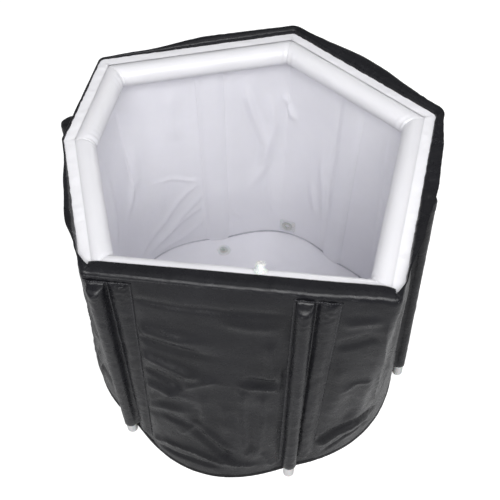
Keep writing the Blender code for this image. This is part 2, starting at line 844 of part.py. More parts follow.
def sleeve_line(scale):
    """Middle line of a sleeve's cloth across the wall: (along, off the wall) pairs."""
    flat = SLEEVE_GAP + SLEEVE_THICKNESS / 2
    radius = ROD_RADIUS + POCKET_CLEARANCE + SLEEVE_THICKNESS / 2
    edge = POCKET_WIDTH / 2
    line = [(-edge, flat), (SEAM_WIDTH - edge, flat)]
    for degrees in (180, 135, 90, 45, 0):
        angle = math.radians(degrees)
        high = ROD_AXIS_OFFSET + radius * math.sin(angle)
        line.append((radius * math.cos(angle), flat + (high - flat) * scale))
    line += [(edge - SEAM_WIDTH / 2, flat), (edge + SEAM_WIDTH / 2, flat)]
    for share, high in SPARE_POCKET_SHARES:
        line.append((edge + POCKET_WIDTH * share, flat + SPARE_POCKET_HEIGHT * high * scale))
    line += [(edge + POCKET_WIDTH - SEAM_WIDTH, flat), (edge + POCKET_WIDTH, flat)]
    return line


def offset_line(line, distance):
    """A line moved sideways by distance, to the left of its direction."""
    moved = []
    for index, (along, off) in enumerate(line):
        before = Vector(line[max(index - 1, 0)])
        after = Vector(line[min(index + 1, len(line) - 1)])
        direction = (after - before).normalized()
        moved.append((along - direction.y * distance, off + direction.x * distance))
    return moved


def sleeve_point(rod, along, off, height):
    """A point of a sleeve: round the rod where it passes over it, and off the wall elsewhere."""
    if abs(along) > POCKET_WIDTH / 2 - SEAM_WIDTH:
        return wall_beside_rod(rod, along, height, off)
    curve = wall_curve(height)
    outward = curve.normal(length_at(curve.lengths, HEAD_PLACES[rod]))
    foot, axis = rod_line(rod)
    centre = foot + axis * (height / axis.z)
    flat = centre.xy - right_of(outward) * along + outward * (off - ROD_AXIS_OFFSET)
    return Vector((flat.x, flat.y, height))


def build_sleeve(rod):
    """Two pockets side by side, closed and rounded at the top; the rod stands in the first."""
    heights = levels(SLEEVE_FOOT_HEIGHT, SLEEVE_TOP - SLEEVE_DOME)
    scales = [1.0] * len(heights)
    for rise, scale in SLEEVE_DOME_SHARES:
        heights.append(SLEEVE_TOP - SLEEVE_DOME * (1 - rise))
        scales.append(scale)
    grids = [[], []]
    for height, scale in zip(heights, scales):
        for grid, side in zip(grids, (0.5, -0.5)):
            line = offset_line(sleeve_line(scale), side * SLEEVE_THICKNESS)
            grid.append([sleeve_point(rod, along, off, height) for along, off in line])
    slab(f"sleeve_{rod + 1}", grids[0], grids[1], NYLON, True)


# Wall drain

def drain_frame():
    """Matrix of the wall drain: origin on the cover's outer face, Z straight out."""
    curve = wall_curve(WALL_DRAIN_HEIGHT)
    target = WALL_DRAIN_AZIMUTH
    nearest = min(range(DENSE_COUNT), key=lambda index: abs(azimuth_of(curve.points[index]) - target))
    length = curve.lengths[nearest]
    normal = curve.normal(length)
    point = curve.points[nearest]
    origin = Vector((point.x, point.y, WALL_DRAIN_HEIGHT))
    return along_axis(origin, Vector((normal.x, normal.y, 0)))


def wall_out(frame, stations_used, across, height, offset):
    """How far out along a level frame's Z the faceted wall lies, at a place across it."""
    origin = frame.translation.to_2d()
    out = frame.col[2].to_2d()
    places = []
    for index in stations_used:
        flat = wall_station(index, height, offset).to_2d() - origin
        places.append((flat.dot(right_of(out)), flat.dot(out)))
    found = []
    for (start, low), (end, high) in zip(places, places[1:] + places[:1]):
        if min(start, end) <= across <= max(start, end):
            found.append(blend(low, high, (across - start) / (end - start)))
    return max(found)


def wall_span(frame, stations_used, half, offset):
    """Least and greatest distance out of the wall over a square about the frame's axis."""
    middle = frame.translation.z
    found = []
    for height in (middle - half, middle, middle + half):
        for step in range(-SPAN_STEPS, SPAN_STEPS + 1):
            found.append(wall_out(frame, stations_used, half * step / SPAN_STEPS, height, offset))
    return min(found), max(found)


def build_wall_drain(walls):
    frame = bpy.data.objects.new("wall_drain_axis", None)
    PARTS.objects.link(frame)
    frame.matrix_world = drain_frame()
    liner_span = wall_span(drain_frame(), STATIONS, DRAIN_PATCH_SIZE / 2, -LINER_INNER)
    inside = liner_span[0] - DRAIN_WALL_CLEARANCE
    hole_radius = DRAIN_TAIL_RADIUS + TOUCH_GAP
    reach = CUT_OVERRUN - inside
    cutter = cylinder("wall_drain_cutter", hole_radius, 2 * reach, None, ROUND_SIDES, CUTTERS)
    cutter.matrix_world = frame.matrix_world
    for wall in walls:
        cut(wall, cutter)

    outline = rounded_square(DRAIN_PATCH_SIZE, DRAIN_PATCH_CORNER)
    patch = plate("wall_drain_patch", outline, inside - DRAIN_PATCH_THICKNESS, inside, CLEAR_PVC)
    cut(patch, cutter)
    collar_high = inside - DRAIN_PATCH_THICKNESS - TOUCH_GAP
    collar_low = collar_high - DRAIN_COLLAR_THICKNESS
    tail_end = DRAIN_TAIL_LENGTH
    body = turned("wall_drain_body",
                  [(DRAIN_TAIL_RADIUS, tail_end), (DRAIN_TAIL_RADIUS, collar_high),
                   (DRAIN_COLLAR_RADIUS, collar_high), (DRAIN_COLLAR_RADIUS, collar_low),
                   (DRAIN_BORE_RADIUS, collar_low), (DRAIN_BORE_RADIUS, tail_end)], CLEAR_PVC)
    cover_span = wall_span(drain_frame(), COVER_STATIONS, DRAIN_COLLAR_RADIUS, 0)
    washer_low = cover_span[1] + DRAIN_WALL_CLEARANCE
    washer_high = washer_low + DRAIN_WASHER_THICKNESS
    washer = turned("wall_drain_washer",
                    [(DRAIN_COLLAR_RADIUS, washer_high), (DRAIN_COLLAR_RADIUS, washer_low),
                     (hole_radius, washer_low), (hole_radius, washer_high)], SEAL_RUBBER)
    nut_low = washer_high + TOUCH_GAP
    nut_high = nut_low + DRAIN_NUT_THICKNESS
    nut = cylinder("wall_drain_nut", DRAIN_NUT_RADIUS, DRAIN_NUT_THICKNESS, ROD_PVC, 6)
    nut.location = (0, 0, (nut_low + nut_high) / 2)
    cut(nut, cutter_along(frame, "wall_drain_nut_cutter", hole_radius, nut_low, nut_high))

    ring_low = nut_high + TOUCH_GAP
    ring_high = ring_low + TETHER_THICKNESS
    cap_inner = DRAIN_TAIL_RADIUS + RUN_CLEARANCE
    cap_outer = cap_inner + CAP_WALL
    seal_low = tail_end + TOUCH_GAP
    seal_high = seal_low + CAP_SEAL_THICKNESS
    end_low = seal_high + TOUCH_GAP
    end_high = end_low + CAP_END
    mouth = end_low - CAP_DEPTH
    seal = turned("wall_drain_seal", [(0, seal_high), (DRAIN_TAIL_RADIUS, seal_high),
                                      (DRAIN_TAIL_RADIUS, seal_low), (0, seal_low)], SEAL_RUBBER)
    cap = build_ribbed_cap("wall_drain_cap", cap_inner, cap_outer, mouth, end_low, end_high)
    tether = build_tether(frame, hole_radius, cap_outer, ring_low, ring_high, mouth)
    for piece in (patch, body, washer, nut, seal, cap, tether):
        piece.parent = frame


def rounded_square(size, radius, steps=3):
    points = []
    half = size / 2 - radius
    for quarter in range(4):
        middle = Vector((half, half))
        middle.rotate(Matrix.Rotation(math.pi / 2 * quarter, 2))
        for step in range(steps + 1):
            angle = math.pi / 2 * (quarter + step / steps)
            points.append(middle + Vector((math.cos(angle), math.sin(angle))) * radius)
    return points


def cutter_along(frame, name, radius, low, high):
    """A round cutter through a piece between two heights of a frame."""
    item = cylinder(name, radius, high - low + 2 * CUT_OVERRUN, None, ROUND_SIDES, CUTTERS)
    item.matrix_world = frame.matrix_world @ Matrix.Translation((0, 0, (low + high) / 2))
    return item


def build_ribbed_cap(name, inner, outer, mouth, end_low, end_high):
    """Screw cap: a cup with grip ribs round its side."""
    bm = bmesh.new()
    count = 2 * ROUND_SIDES
    rows = []
    for radius, height, ribbed in ((inner, end_low, False), (inner, mouth, False),
                                   (outer, mouth, True), (outer, end_high, True)):
        row = []
        for side in range(count):
            angle = 2 * math.pi * side / count
            reach = radius + (CAP_RIB_DEPTH if ribbed and side % 4 < 2 else 0)
            row.append(bm.verts.new((reach * math.cos(angle), reach * math.sin(angle), height)))
        rows.append(row)
    for row, following in zip(rows, rows[1:]):
        for index in range(count):
            beside = (index + 1) % count
            bm.faces.new((row[index], row[beside], following[beside], following[index]))
    bm.faces.new(rows[0])
    bm.faces.new(rows[-1])
    return finish_mesh(name, bm, ROD_PVC)


def build_tether(frame, neck, cap_radius, low, high, mouth):
    """Flat strap: an eye round the tail, an eye round the cap, and a bowed arm between."""
    neck_eye = turned("wall_drain_tether",
                      [(neck + TETHER_RIM, high), (neck + TETHER_RIM, low), (neck, low), (neck, high)],
                      CLEAR_PVC)
    cap_hole = cap_radius + CAP_RIB_DEPTH + RUN_CLEARANCE
    eye_low = mouth + TETHER_RIM
    eye_high = eye_low + TETHER_THICKNESS
    cap_eye = turned("tether_cap_eye",
                     [(cap_hole + TETHER_RIM, eye_high), (cap_hole + TETHER_RIM, eye_low),
                      (cap_hole, eye_low), (cap_hole, eye_high)], None)
    start = neck + TETHER_RIM / 2
    out = cap_hole + TETHER_REACH
    arm = [(start, low), (start, high), (out - TETHER_THICKNESS, high), (out - TETHER_THICKNESS, eye_low),
           (cap_hole + TETHER_RIM / 2, eye_low), (cap_hole + TETHER_RIM / 2, eye_high), (out, eye_high),
           (out, low)]
    bm = bmesh.new()
    half = TETHER_WIDTH / 2
    face = bm.faces.new([bm.verts.new((half, -along, height)) for along, height in arm])
    spread = bmesh.ops.extrude_face_region(bm, geom=[face])
    moved = [item for item in spread["geom"] if isinstance(item, bmesh.types.BMVert)]
    bmesh.ops.translate(bm, vec=(-TETHER_WIDTH, 0, 0), verts=moved)
    arm_item = finish_mesh("tether_arm", bm, None)
    for helper in (cap_eye, arm_item):
        PARTS.objects.unlink(helper)
        CUTTERS.objects.link(helper)
        helper.hide_render = True
        helper.display_type = "WIRE"
        helper.parent = frame
        join = neck_eye.modifiers.new("join", "BOOLEAN")
        join.operation = "UNION"
        join.solver = "EXACT"
        join.object = helper
    return neck_eye


# Floor drain

def build_floor_drain(floors):
    """Eight-sided flange on the liner floor, with its tail, lock ring and stopper."""
    frame = bpy.data.objects.new("floor_drain_axis", None)
    PARTS.objects.link(frame)
    frame.location = polar(BASE_RADIUS * FLOOR_DRAIN_SHARE, FLOOR_DRAIN_AZIMUTH).to_3d()
    bpy.context.view_layer.update()
    hole = FLOOR_TAIL_RADIUS + TOUCH_GAP
    ring_radius = hole + FLOOR_RING_WIDTH
    flange_low = FLOOR_HIGH + TOUCH_GAP
    flange_high = flange_low + FLOOR_FLANGE_THICKNESS
    cover_base, foam_base, liner_floor = floors
    cut(cover_base, cutter_along(frame, "base_drain_cutter", hole, 0, BASE_TOP))
    cut(foam_base, cutter_along(frame, "foam_drain_cutter", ring_radius + TOUCH_GAP,
                                FOAM_BASE_LOW, FOAM_BASE_HIGH))
    cut(liner_floor, cutter_along(frame, "liner_drain_cutter", hole, FLOOR_LOW, FLOOR_HIGH))

    seat = flange_high - STOPPER_HEAD_THICKNESS - TOUCH_GAP
    mouth = FLOOR_TAIL_RADIUS
    flange = cylinder("floor_drain_flange", FLOOR_FLANGE_RADIUS, FLOOR_FLANGE_THICKNESS, CLEAR_PVC, 8)
    flange.location = (0, 0, (flange_low + flange_high) / 2)
    cut(flange, cutter_along(frame, "flange_drain_cutter", mouth + TOUCH_GAP, flange_low, flange_high))
    tail_foot = FLOOR_TAIL_GROUND_CLEARANCE
    tail = turned("floor_drain_tail",
                  [(mouth, seat), (mouth, tail_foot), (FLOOR_BORE_RADIUS, tail_foot),
                   (FLOOR_BORE_RADIUS, seat)], CLEAR_PVC)
    lock = turned("floor_drain_lock_ring",
                  [(ring_radius, FOAM_BASE_HIGH), (ring_radius, FOAM_BASE_LOW), (hole, FOAM_BASE_LOW),
                   (hole, FOAM_BASE_HIGH)], ROD_PVC)
    head_low = seat + TOUCH_GAP
    head_high = head_low + STOPPER_HEAD_THICKNESS
    stem = FLOOR_BORE_RADIUS - TOUCH_GAP
    stem_low = BASE_TOP
    stopper = turned("floor_drain_stopper",
                     [(0, head_high), (mouth, head_high), (mouth, head_low), (stem, head_low),
                      (stem, stem_low), (0, stem_low)], CLEAR_PVC)
    bm = bmesh.new()
    bmesh.ops.create_cube(bm, size=1.0)
    tab_low = head_low + STOPPER_HEAD_THICKNESS / 2
    tab_high = head_high + STOPPER_TAB_HEIGHT
    bmesh.ops.scale(bm, vec=(STOPPER_TAB_WIDTH, STOPPER_TAB_THICKNESS, tab_high - tab_low), verts=bm.verts)
    bmesh.ops.translate(bm, vec=(0, 0, (tab_low + tab_high) / 2), verts=bm.verts)
    tab = finish_mesh("stopper_tab", bm, None)
    PARTS.objects.unlink(tab)
    CUTTERS.objects.link(tab)
    tab.hide_render = True
    tab.display_type = "WIRE"
    tab.parent = frame
    join = stopper.modifiers.new("join", "BOOLEAN")
    join.operation = "UNION"
    join.solver = "EXACT"
    join.object = tab
    for piece in (flange, tail, lock, stopper):
        piece.parent = frame


# Inflation valve

def build_valve(ring):
    """Valve on the front stretch of the ring, leaning a little towards the inside."""
    front = SIDE_COUNT - 2
    start = offset_corner(front, RING_DEPTH)
    end = offset_corner(front + 1, RING_DEPTH)
    share = (VALVE_X - start.x) / (end.x - start.x)
    flat = blend(start, end, share)
    along = (end - start).normalized()
    inward = -right_of(along)
    tilt = math.radians(VALVE_TILT)
    axis = Vector((inward.x * math.sin(tilt), inward.y * math.sin(tilt), math.cos(tilt)))
    centre = Vector((flat.x, flat.y, RING_HEIGHT))
    frame = bpy.data.objects.new("valve_axis", None)
    PARTS.objects.link(frame)
    frame.matrix_world = along_axis(centre, axis, Vector((along.x, along.y, 0)).cross(axis))
    surface = RING_RADIUS
    hole = cylinder("valve_hole_cutter", VALVE_BORE_RADIUS, RING_RADIUS, None, ROUND_SIDES, CUTTERS)
    hole.matrix_world = frame.matrix_world @ Matrix.Translation((0, 0, RING_RADIUS))
    cut(ring, hole)

    foot_top = surface + VALVE_FOOT_HEIGHT
    neck_top = surface + VALVE_NECK_HEIGHT
    buried = surface - VALVE_FOOT_HEIGHT
    body = turned("valve_body",
                  [(VALVE_NECK_RADIUS, neck_top), (VALVE_NECK_RADIUS, foot_top),
                   (VALVE_FOOT_RADIUS, surface), (VALVE_FOOT_RADIUS, buried),
                   (VALVE_BORE_RADIUS, buried), (VALVE_BORE_RADIUS, neck_top)], CLEAR_PVC)
    tube = cylinder("valve_seat_cutter", RING_RADIUS + TOUCH_GAP, 4 * VALVE_FOOT_RADIUS, None,
                    SEAT_SIDES, CUTTERS)
    tube.matrix_world = along_axis(centre, Vector((along.x, along.y, 0)))
    cut(body, tube)

    cap_low = neck_top + TOUCH_GAP
    cap_high = cap_low + VALVE_CAP_THICKNESS
    lip_inner = VALVE_NECK_RADIUS + RUN_CLEARANCE
    lip_low = cap_low - VALVE_LIP_DEPTH
    hinge_out = VALVE_CAP_RADIUS + VALVE_STRAP_THICKNESS
    cap = turned("valve_cap",
                 [(0, cap_high), (VALVE_CAP_RADIUS, cap_high), (VALVE_CAP_RADIUS, lip_low),
                  (lip_inner, lip_low), (lip_inner, cap_low), (0, cap_low)], CLEAR_PVC)
    strap = build_valve_strap(foot_top, lip_low - TOUCH_GAP, hinge_out)
    for piece in (body, strap):
        piece.parent = frame
    hinge = bpy.data.objects.new("valve_cap_hinge_axis", None)
    PARTS.objects.link(hinge)
    hinge.parent = frame
    hinge.location = (hinge_out, 0, cap_low)
    cap.parent = hinge
    cap.location = (-hinge_out, 0, -cap_low)


def build_valve_strap(foot_top, hinge_height, hinge_out):
    """Short strap from the valve's neck out and up to the cap's edge."""
    near = VALVE_NECK_RADIUS + TOUCH_GAP
    low = foot_top + VALVE_STRAP_THICKNESS
    arm = [(near, low), (hinge_out, low), (hinge_out, hinge_height),
           (hinge_out - VALVE_STRAP_THICKNESS, hinge_height),
           (hinge_out - VALVE_STRAP_THICKNESS, low + VALVE_STRAP_THICKNESS),
           (near, low + VALVE_STRAP_THICKNESS)]
    bm = bmesh.new()
    half = VALVE_STRAP_WIDTH / 2
    face = bm.faces.new([bm.verts.new((out, -half, height)) for out, height in arm])
    spread = bmesh.ops.extrude_face_region(bm, geom=[face])
    moved = [item for item in spread["geom"] if isinstance(item, bmesh.types.BMVert)]
    bmesh.ops.translate(bm, vec=(0, VALVE_STRAP_WIDTH, 0), verts=moved)
    return finish_mesh("valve_strap", bm, CLEAR_PVC)


def main():
    cover_wall, cover_base = build_cover()
    build_piping()
    build_hem()
    foam_wall, foam_base = build_foam()
    liner_wall, liner_floor = build_liner()
    build_strips()
    ring = build_ring()
    build_flange()
    for rod in range(ROD_COUNT):
        build_rod(rod)
        build_sleeve(rod)
    build_wall_drain((cover_wall, foam_wall, liner_wall))
    build_floor_drain((cover_base, foam_base, liner_floor))
    build_valve(ring)


main()
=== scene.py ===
"""Looks of the portable ice bath tub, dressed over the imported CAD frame."""
import math
import random

import bmesh
import bpy
import numpy as np
from mathutils import Matrix, Vector, noise


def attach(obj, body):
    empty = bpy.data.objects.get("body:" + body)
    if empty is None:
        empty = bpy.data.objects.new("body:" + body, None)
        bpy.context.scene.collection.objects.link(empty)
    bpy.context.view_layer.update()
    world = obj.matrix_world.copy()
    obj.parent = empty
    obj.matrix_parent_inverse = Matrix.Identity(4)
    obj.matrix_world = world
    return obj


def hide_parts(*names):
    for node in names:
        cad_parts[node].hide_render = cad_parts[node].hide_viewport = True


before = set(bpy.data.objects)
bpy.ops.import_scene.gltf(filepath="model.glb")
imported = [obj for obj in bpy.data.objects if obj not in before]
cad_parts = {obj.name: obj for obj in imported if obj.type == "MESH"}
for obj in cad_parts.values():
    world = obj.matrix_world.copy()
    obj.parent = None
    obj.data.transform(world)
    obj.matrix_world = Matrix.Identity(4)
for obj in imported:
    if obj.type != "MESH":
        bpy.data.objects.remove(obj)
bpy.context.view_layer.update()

# The wall as the CAD has it, in metres and degrees
RIM = 0.735
TOP_R = 0.44
TOP_ROUND = 0.016
CORNER_AZ = (15.1, 74.1, 138.3, 174.0, 225.5, 305.5)
CORNER_SHARE = (0.973, 0.932, 1.034, 0.901, 1.030, 1.108)
FOOT_AZ = (47.0, 101.0, 164.0, 220.8, 284.0, 346.3)
HEAD_AZ = (41.0, 102.0, 164.0, 228.5, 286.0, 342.8)
BASE_R = 0.378
BULGE = 0.026
BULGE_POWER = 1.4
BASE_SHARE = (1.0, 1.0, 1.0, 1.0, 1.0, 1.03)
BULGE_SHARE = (1.0, 1.0, 0.9, 0.85, 0.5, 1.0)
# Steps round one rim corner and along one rim side
ARC = 16
SIDE = 80

# Cover: how far its folds stand out against the fold table, and its doubled hem
COVER_FOLD_GAIN = 1.9
HEM_LEAN = 0.034
HEM_DOUBLE = 0.0026
EDGE_STEPS = 12

# Rods and their sleeves
ROD_R = 0.0130
ROD_OFF = 0.0160
ROD_HIGH = 0.7127
PLUG_RIM = 0.005
POCKET = 0.040
POCKET_R = ROD_R + 0.0027
POCKET_SEAM = 0.0200
SLEEVE_HIGH = 0.727
SLEEVE_HEIGHTS = np.concatenate([np.linspace(0.050, 0.660, 76), np.linspace(0.660, 0.7305, 34)[1:]])
STITCH_LENGTH = 0.0032
STITCH_GAP = 0.0018
STITCH_WIDTH = 0.0007
STITCH_HEIGHT = 0.00048

# Liner, ring and fittings
LINER_FACE = 0.0106
LINER_TOP = 0.7325
LINER_FOLD_GAIN = 1.7
FLOOR_Z = 0.0081
WELD_R = 0.0022
WELD_DISTANCE = 1e-6
RING_R = 0.0265
RING_DEPTH = 0.0411
FLANGE_THICKNESS = 0.0012
TOUCH_GAP = 0.0003
RING_Z = RIM - FLANGE_THICKNESS - TOUCH_GAP - RING_R * math.sin(math.radians(45))
RING_STEPS = 56
RING_SIDES = 48
FLOOR_DRAIN = (-0.07282, 0.31294)
DRAIN_CENTRE = np.array(FLOOR_DRAIN)
PATCH_HALF = 0.0228
PATCH_CORNER = 0.005

# Looks and light
RAMP_PLACES = (0.3, 0.7)
BANDS_PER_METRE = 0.314
THREAD_BUMP = (0.35, 0.00012)
GLOSSY_SHARE = 0.15
STAGE = 9.0
STAGE_Z = -0.0004
FLOOR_COLOUR = (0.45, 0.45, 0.45, 1)
FLOOR_GLOW = 0.80
WORLD_PLAIN = ((0.93, 0.95, 1.0, 1), 0.18)
WORLD_WHITE = ((1, 1, 1, 1), 0.93)
# name, place, target, watts, width, height
LAMPS = (
    ("key", (-2.4, -1.2, 2.0), (0, 0, 0.4), 11, 1.2, 1.6),
    ("side", (2.2, -1.4, 2.6), (-0.1, 0, 0.4), 20, 1.2, 1.6),
    ("front", (0.0, -2.1, 2.9), (0, 0, 0.4), 96, 2.2, 1.4),
    ("low", (-1.1, -2.8, 0.45), (0, 0, 0.4), 12, 0.5, 0.4),
    ("low_right", (1.9, -2.0, 0.6), (0, 0, 0.4), 5, 0.4, 0.5),
    ("back", (0.8, 2.6, 0.9), (0, 0, 0.35), 22, 1.6, 1.0),
    ("over", (0.2, 0.3, 3.4), (0, 0, 0.3), 9, 1.8, 1.6))

# The photograph's camera
PITCH = 0.903177
ROLL = -0.00585
FOCAL_SHARE = 921.46 / 500
SENSOR = 36.0
CAMERA_PLACE = (0.00373, -1.36158, 2.13265)


# Camera

def add_camera():
    forward = Vector((0, math.cos(PITCH), -math.sin(PITCH)))
    right = Vector((1, 0, 0))
    up = right.cross(forward)
    x_axis = right * math.cos(ROLL) + up * math.sin(ROLL)
    y_axis = up * math.cos(ROLL) - right * math.sin(ROLL)
    data = bpy.data.cameras.new("camera")
    data.sensor_fit = "HORIZONTAL"
    data.sensor_width = SENSOR
    data.lens = FOCAL_SHARE * SENSOR
    camera = bpy.data.objects.new("camera", data)
    bpy.context.scene.collection.objects.link(camera)
    turn = Matrix((x_axis, y_axis, -forward)).transposed().to_4x4()
    camera.matrix_world = Matrix.Translation(CAMERA_PLACE) @ turn
    bpy.context.scene.camera = camera


add_camera()


# Plan curves of the wall

def polar(radius, azimuth):
    angle = np.radians(azimuth)
    return np.stack([radius * np.cos(angle), radius * np.sin(angle)], -1)


def unit(v):
    return v / np.linalg.norm(v, axis=-1, keepdims=True)


def right_of(d):
    return np.stack([d[..., 1], -d[..., 0]], -1)


CORNERS = polar(TOP_R * np.array(CORNER_SHARE), np.array(CORNER_AZ))
SIDES = unit(np.roll(CORNERS, -1, 0) - CORNERS)
HALF = np.arccos(np.clip((np.roll(SIDES, 1, 0) * SIDES).sum(1), -1, 1)) / 2
CORNER_OUT = unit(right_of(np.roll(SIDES, 1, 0)) + right_of(SIDES))


def rim_curve():
    points = []
    for index in range(6):
        centre = CORNERS[index] - CORNER_OUT[index] * TOP_ROUND / np.cos(HALF[index])
        middle = np.arctan2(CORNER_OUT[index][1], CORNER_OUT[index][0])
        for step in range(ARC + 1):
            angle = middle + HALF[index] * (2 * step / ARC - 1)
            points.append(centre + TOP_ROUND * np.array([np.cos(angle), np.sin(angle)]))
        following = (index + 1) % 6
        end = CORNERS[following] - SIDES[index] * TOP_ROUND * np.tan(HALF[following])
        start = points[-1]
        for step in range(1, SIDE):
            points.append(start + (end - start) * step / SIDE)
    return np.array(points)


TOP = rim_curve()
COUNT = len(TOP)


def lengths(points):
    return np.concatenate([[0], np.cumsum(np.linalg.norm(np.roll(points, -1, 0) - points, axis=1))])


TOP_LENGTHS = lengths(TOP)
TOP_AZ = np.degrees(np.arctan2(TOP[:, 1], TOP[:, 0])) % 360


def head_place(azimuth):
    for index in range(COUNT):
        step = (TOP_AZ[(index + 1) % COUNT] - TOP_AZ[index]) % 360
        ahead = (azimuth - TOP_AZ[index]) % 360
        if ahead < step:
            return index + ahead / step
    raise ValueError("no place on the rim at that azimuth")


RIM_OUT = right_of(unit(np.roll(TOP, -2, 0) - np.roll(TOP, 2, 0)))
HEAD_PLACE = [head_place(azimuth) for azimuth in HEAD_AZ]
HEAD_LENGTH = [np.interp(place, np.arange(COUNT + 1), TOP_LENGTHS) for place in HEAD_PLACE]


def base_curve():
    points = np.zeros((COUNT, 2))
    for index in range(COUNT):
        for rod in range(6):
            span = (HEAD_LENGTH[(rod + 1) % 6] - HEAD_LENGTH[rod]) % TOP_LENGTHS[-1]
            ahead = (TOP_LENGTHS[index] - HEAD_LENGTH[rod]) % TOP_LENGTHS[-1]
            if ahead < span:
                break
        share = ahead / span
        ease = share * share * (3 - 2 * share)
        after = (rod + 1) % 6
        turn = (FOOT_AZ[after] - FOOT_AZ[rod]) % 360
        radius = BASE_R * (BASE_SHARE[rod] + (BASE_SHARE[after] - BASE_SHARE[rod]) * ease)
        radius += BULGE * BULGE_SHARE[rod] * math.sin(math.pi * share) ** BULGE_POWER
        points[index] = polar(radius, FOOT_AZ[rod] + turn * share)
    return points


BASE = base_curve()
MIDDLE_LENGTHS = lengths((BASE + TOP) / 2)
AROUND = MIDDLE_LENGTHS[:-1]
WHOLE = MIDDLE_LENGTHS[-1]
HEAD_AROUND = [np.interp(place, np.arange(COUNT + 1), MIDDLE_LENGTHS) for place in HEAD_PLACE]


def level(height):
    """Plan points and outward normals of the wall at one height."""
    points = BASE + (TOP - BASE) * min(max(height / RIM, 0), 1.02)
    reach = 3
    tangent = np.roll(points, -reach, 0) - np.roll(points, reach, 0)
    return points, right_of(unit(tangent))


def on_wall(around, height, offset):
    """One point of the wall at a mid-height length round it."""
    points, normals = level(height)
    around = around % WHOLE
    x = np.interp(around, MIDDLE_LENGTHS, np.append(points[:, 0], points[0, 0]))
    y = np.interp(around, MIDDLE_LENGTHS, np.append(points[:, 1], points[0, 1]))
    nx = np.interp(around, MIDDLE_LENGTHS, np.append(normals[:, 0], normals[0, 0]))
    ny = np.interp(around, MIDDLE_LENGTHS, np.append(normals[:, 1], normals[0, 1]))
    return np.array([x + nx * offset, y + ny * offset, height])


def wall_points(heights, offsets):
    """Grid of wall points: heights down the rows, every plan point along them."""
    rows = []
    for row, height in enumerate(heights):
        points, normals = level(height)
        flat = points + normals * offsets[row][:, None]
        rows.append(np.column_stack([flat, np.full(COUNT, height)]))
    return np.array(rows)


def rough_at(x, y, z):
    return noise.noise(Vector((x, y, z)))


def fuzz(around, height, scale, seed=0.0, stretch=1.0):
    """Smooth noise that joins up round the wall."""
    angle = around / WHOLE * 2 * math.pi
    radius = WHOLE / (2 * math.pi) / scale
    return rough_at(radius * math.cos(angle) + seed, radius * math.sin(angle) - seed,
                    height / scale / stretch)


def fuzz_grid(heights, scale, seed=0.0, stretch=1.0, step=2):
    """Noise on the wall's grid, taken at every second place and spread between."""
    places = np.arange(0, COUNT, step)
    rows = []
    for height in heights:
        values = [fuzz(AROUND[place], height, scale, seed, stretch) for place in places]
        rows.append(np.interp(np.arange(COUNT), np.append(places, COUNT), values + values[:1]))
    return np.array(rows)


def crease(around, height, line, width, size, sharp=False, taper=0.25):
    """Height of one fold along a line of (length round the wall, height) points."""
    best = np.full(around.shape, 1e9)
    share = np.zeros(around.shape)
    points = [np.array(point) for point in line]
    total = sum(np.linalg.norm(b - a) for a, b in zip(points, points[1:]))
    passed = 0.0
    for a, b in zip(points, points[1:]):
        run = b - a
        size_sq = max(run @ run, 1e-12)
        t = np.clip(((around - a[0]) * run[0] + (height - a[1]) * run[1]) / size_sq, 0, 1)
        away = np.hypot(around - a[0] - run[0] * t, height - a[1] - run[1] * t)
        near = away < best
        best = np.where(near, away, best)
        share = np.where(near, (passed + t * np.linalg.norm(run)) / total, share)
        passed += np.linalg.norm(run)
    ends = np.clip(np.minimum(share, 1 - share) / max(taper, 1e-6), 0, 1)
    ends = ends * ends * (3 - 2 * ends) * 0.85 + 0.15
    if sharp:
        shape = np.exp(-np.sqrt((best / width) ** 2 + 0.02))
    else:
        shape = np.exp(-(best / width) ** 2)
    return size * shape * ends


# Meshes

def link(name, mesh, material, smooth=True):
    item = bpy.data.objects.new(name, mesh)
    bpy.context.scene.collection.objects.link(item)
    mesh.materials.append(material)
    if smooth:
        mesh.shade_smooth()
    return item


def grid_mesh(name, points, material, around=True, across=False, flip=False, uv=None):
    """A mesh from a grid of points, joined round its rows and, if asked, across them."""
    rows, columns = points.shape[:2]
    row_ends = rows if across else rows - 1
    column_ends = columns if around else columns - 1
    r, c = np.meshgrid(np.arange(row_ends), np.arange(column_ends), indexing="ij")
    a = r * columns + c
    b = r * columns + (c + 1) % columns
    d = ((r + 1) % rows) * columns + c
    e = ((r + 1) % rows) * columns + (c + 1) % columns
    faces = np.stack([a, d, e, b] if flip else [a, b, e, d], -1).reshape(-1, 4)
    mesh = bpy.data.meshes.new(name)
    mesh.vertices.add(rows * columns)
    mesh.vertices.foreach_set("co", points.reshape(-1).astype(np.float32))
    mesh.loops.add(len(faces) * 4)
    mesh.loops.foreach_set("vertex_index", faces.reshape(-1).astype(np.int32))
    mesh.polygons.add(len(faces))
    mesh.polygons.foreach_set("loop_start", np.arange(0, len(faces) * 4, 4, dtype=np.int32))
    mesh.update(calc_edges=True)
    if uv is not None:
        layer = mesh.uv_layers.new(name="UVMap")
        flat = uv.reshape(-1, 2)[faces.reshape(-1)].copy()
        if around:
            u = flat[:, 0].reshape(-1, 4)
            wide = (u.max(1) - u.min(1)) > WHOLE / 2
            u[wide] = np.where(u[wide] < WHOLE / 2, u[wide] + WHOLE, u[wide])
            flat[:, 0] = u.reshape(-1)
        layer.data.foreach_set("uv", flat.reshape(-1).astype(np.float32))
    mesh.validate()
    return link(name, mesh, material)


def uv_grid(across, up):
    return np.stack(np.meshgrid(across, up), -1)


def circle(count):
    """Angle, cosine and sine of each of the places round a circle."""
    angles = [2 * math.pi * number / count for number in range(count)]
    return [(angle, math.cos(angle), math.sin(angle)) for angle in angles]


def placed(grid, matrix):
    """A grid of points moved by a matrix."""
    flat = np.column_stack([grid.reshape(-1, 3), np.ones(grid.size // 3)])
    return (np.array(matrix) @ flat.T).T[:, :3].reshape(grid.shape)


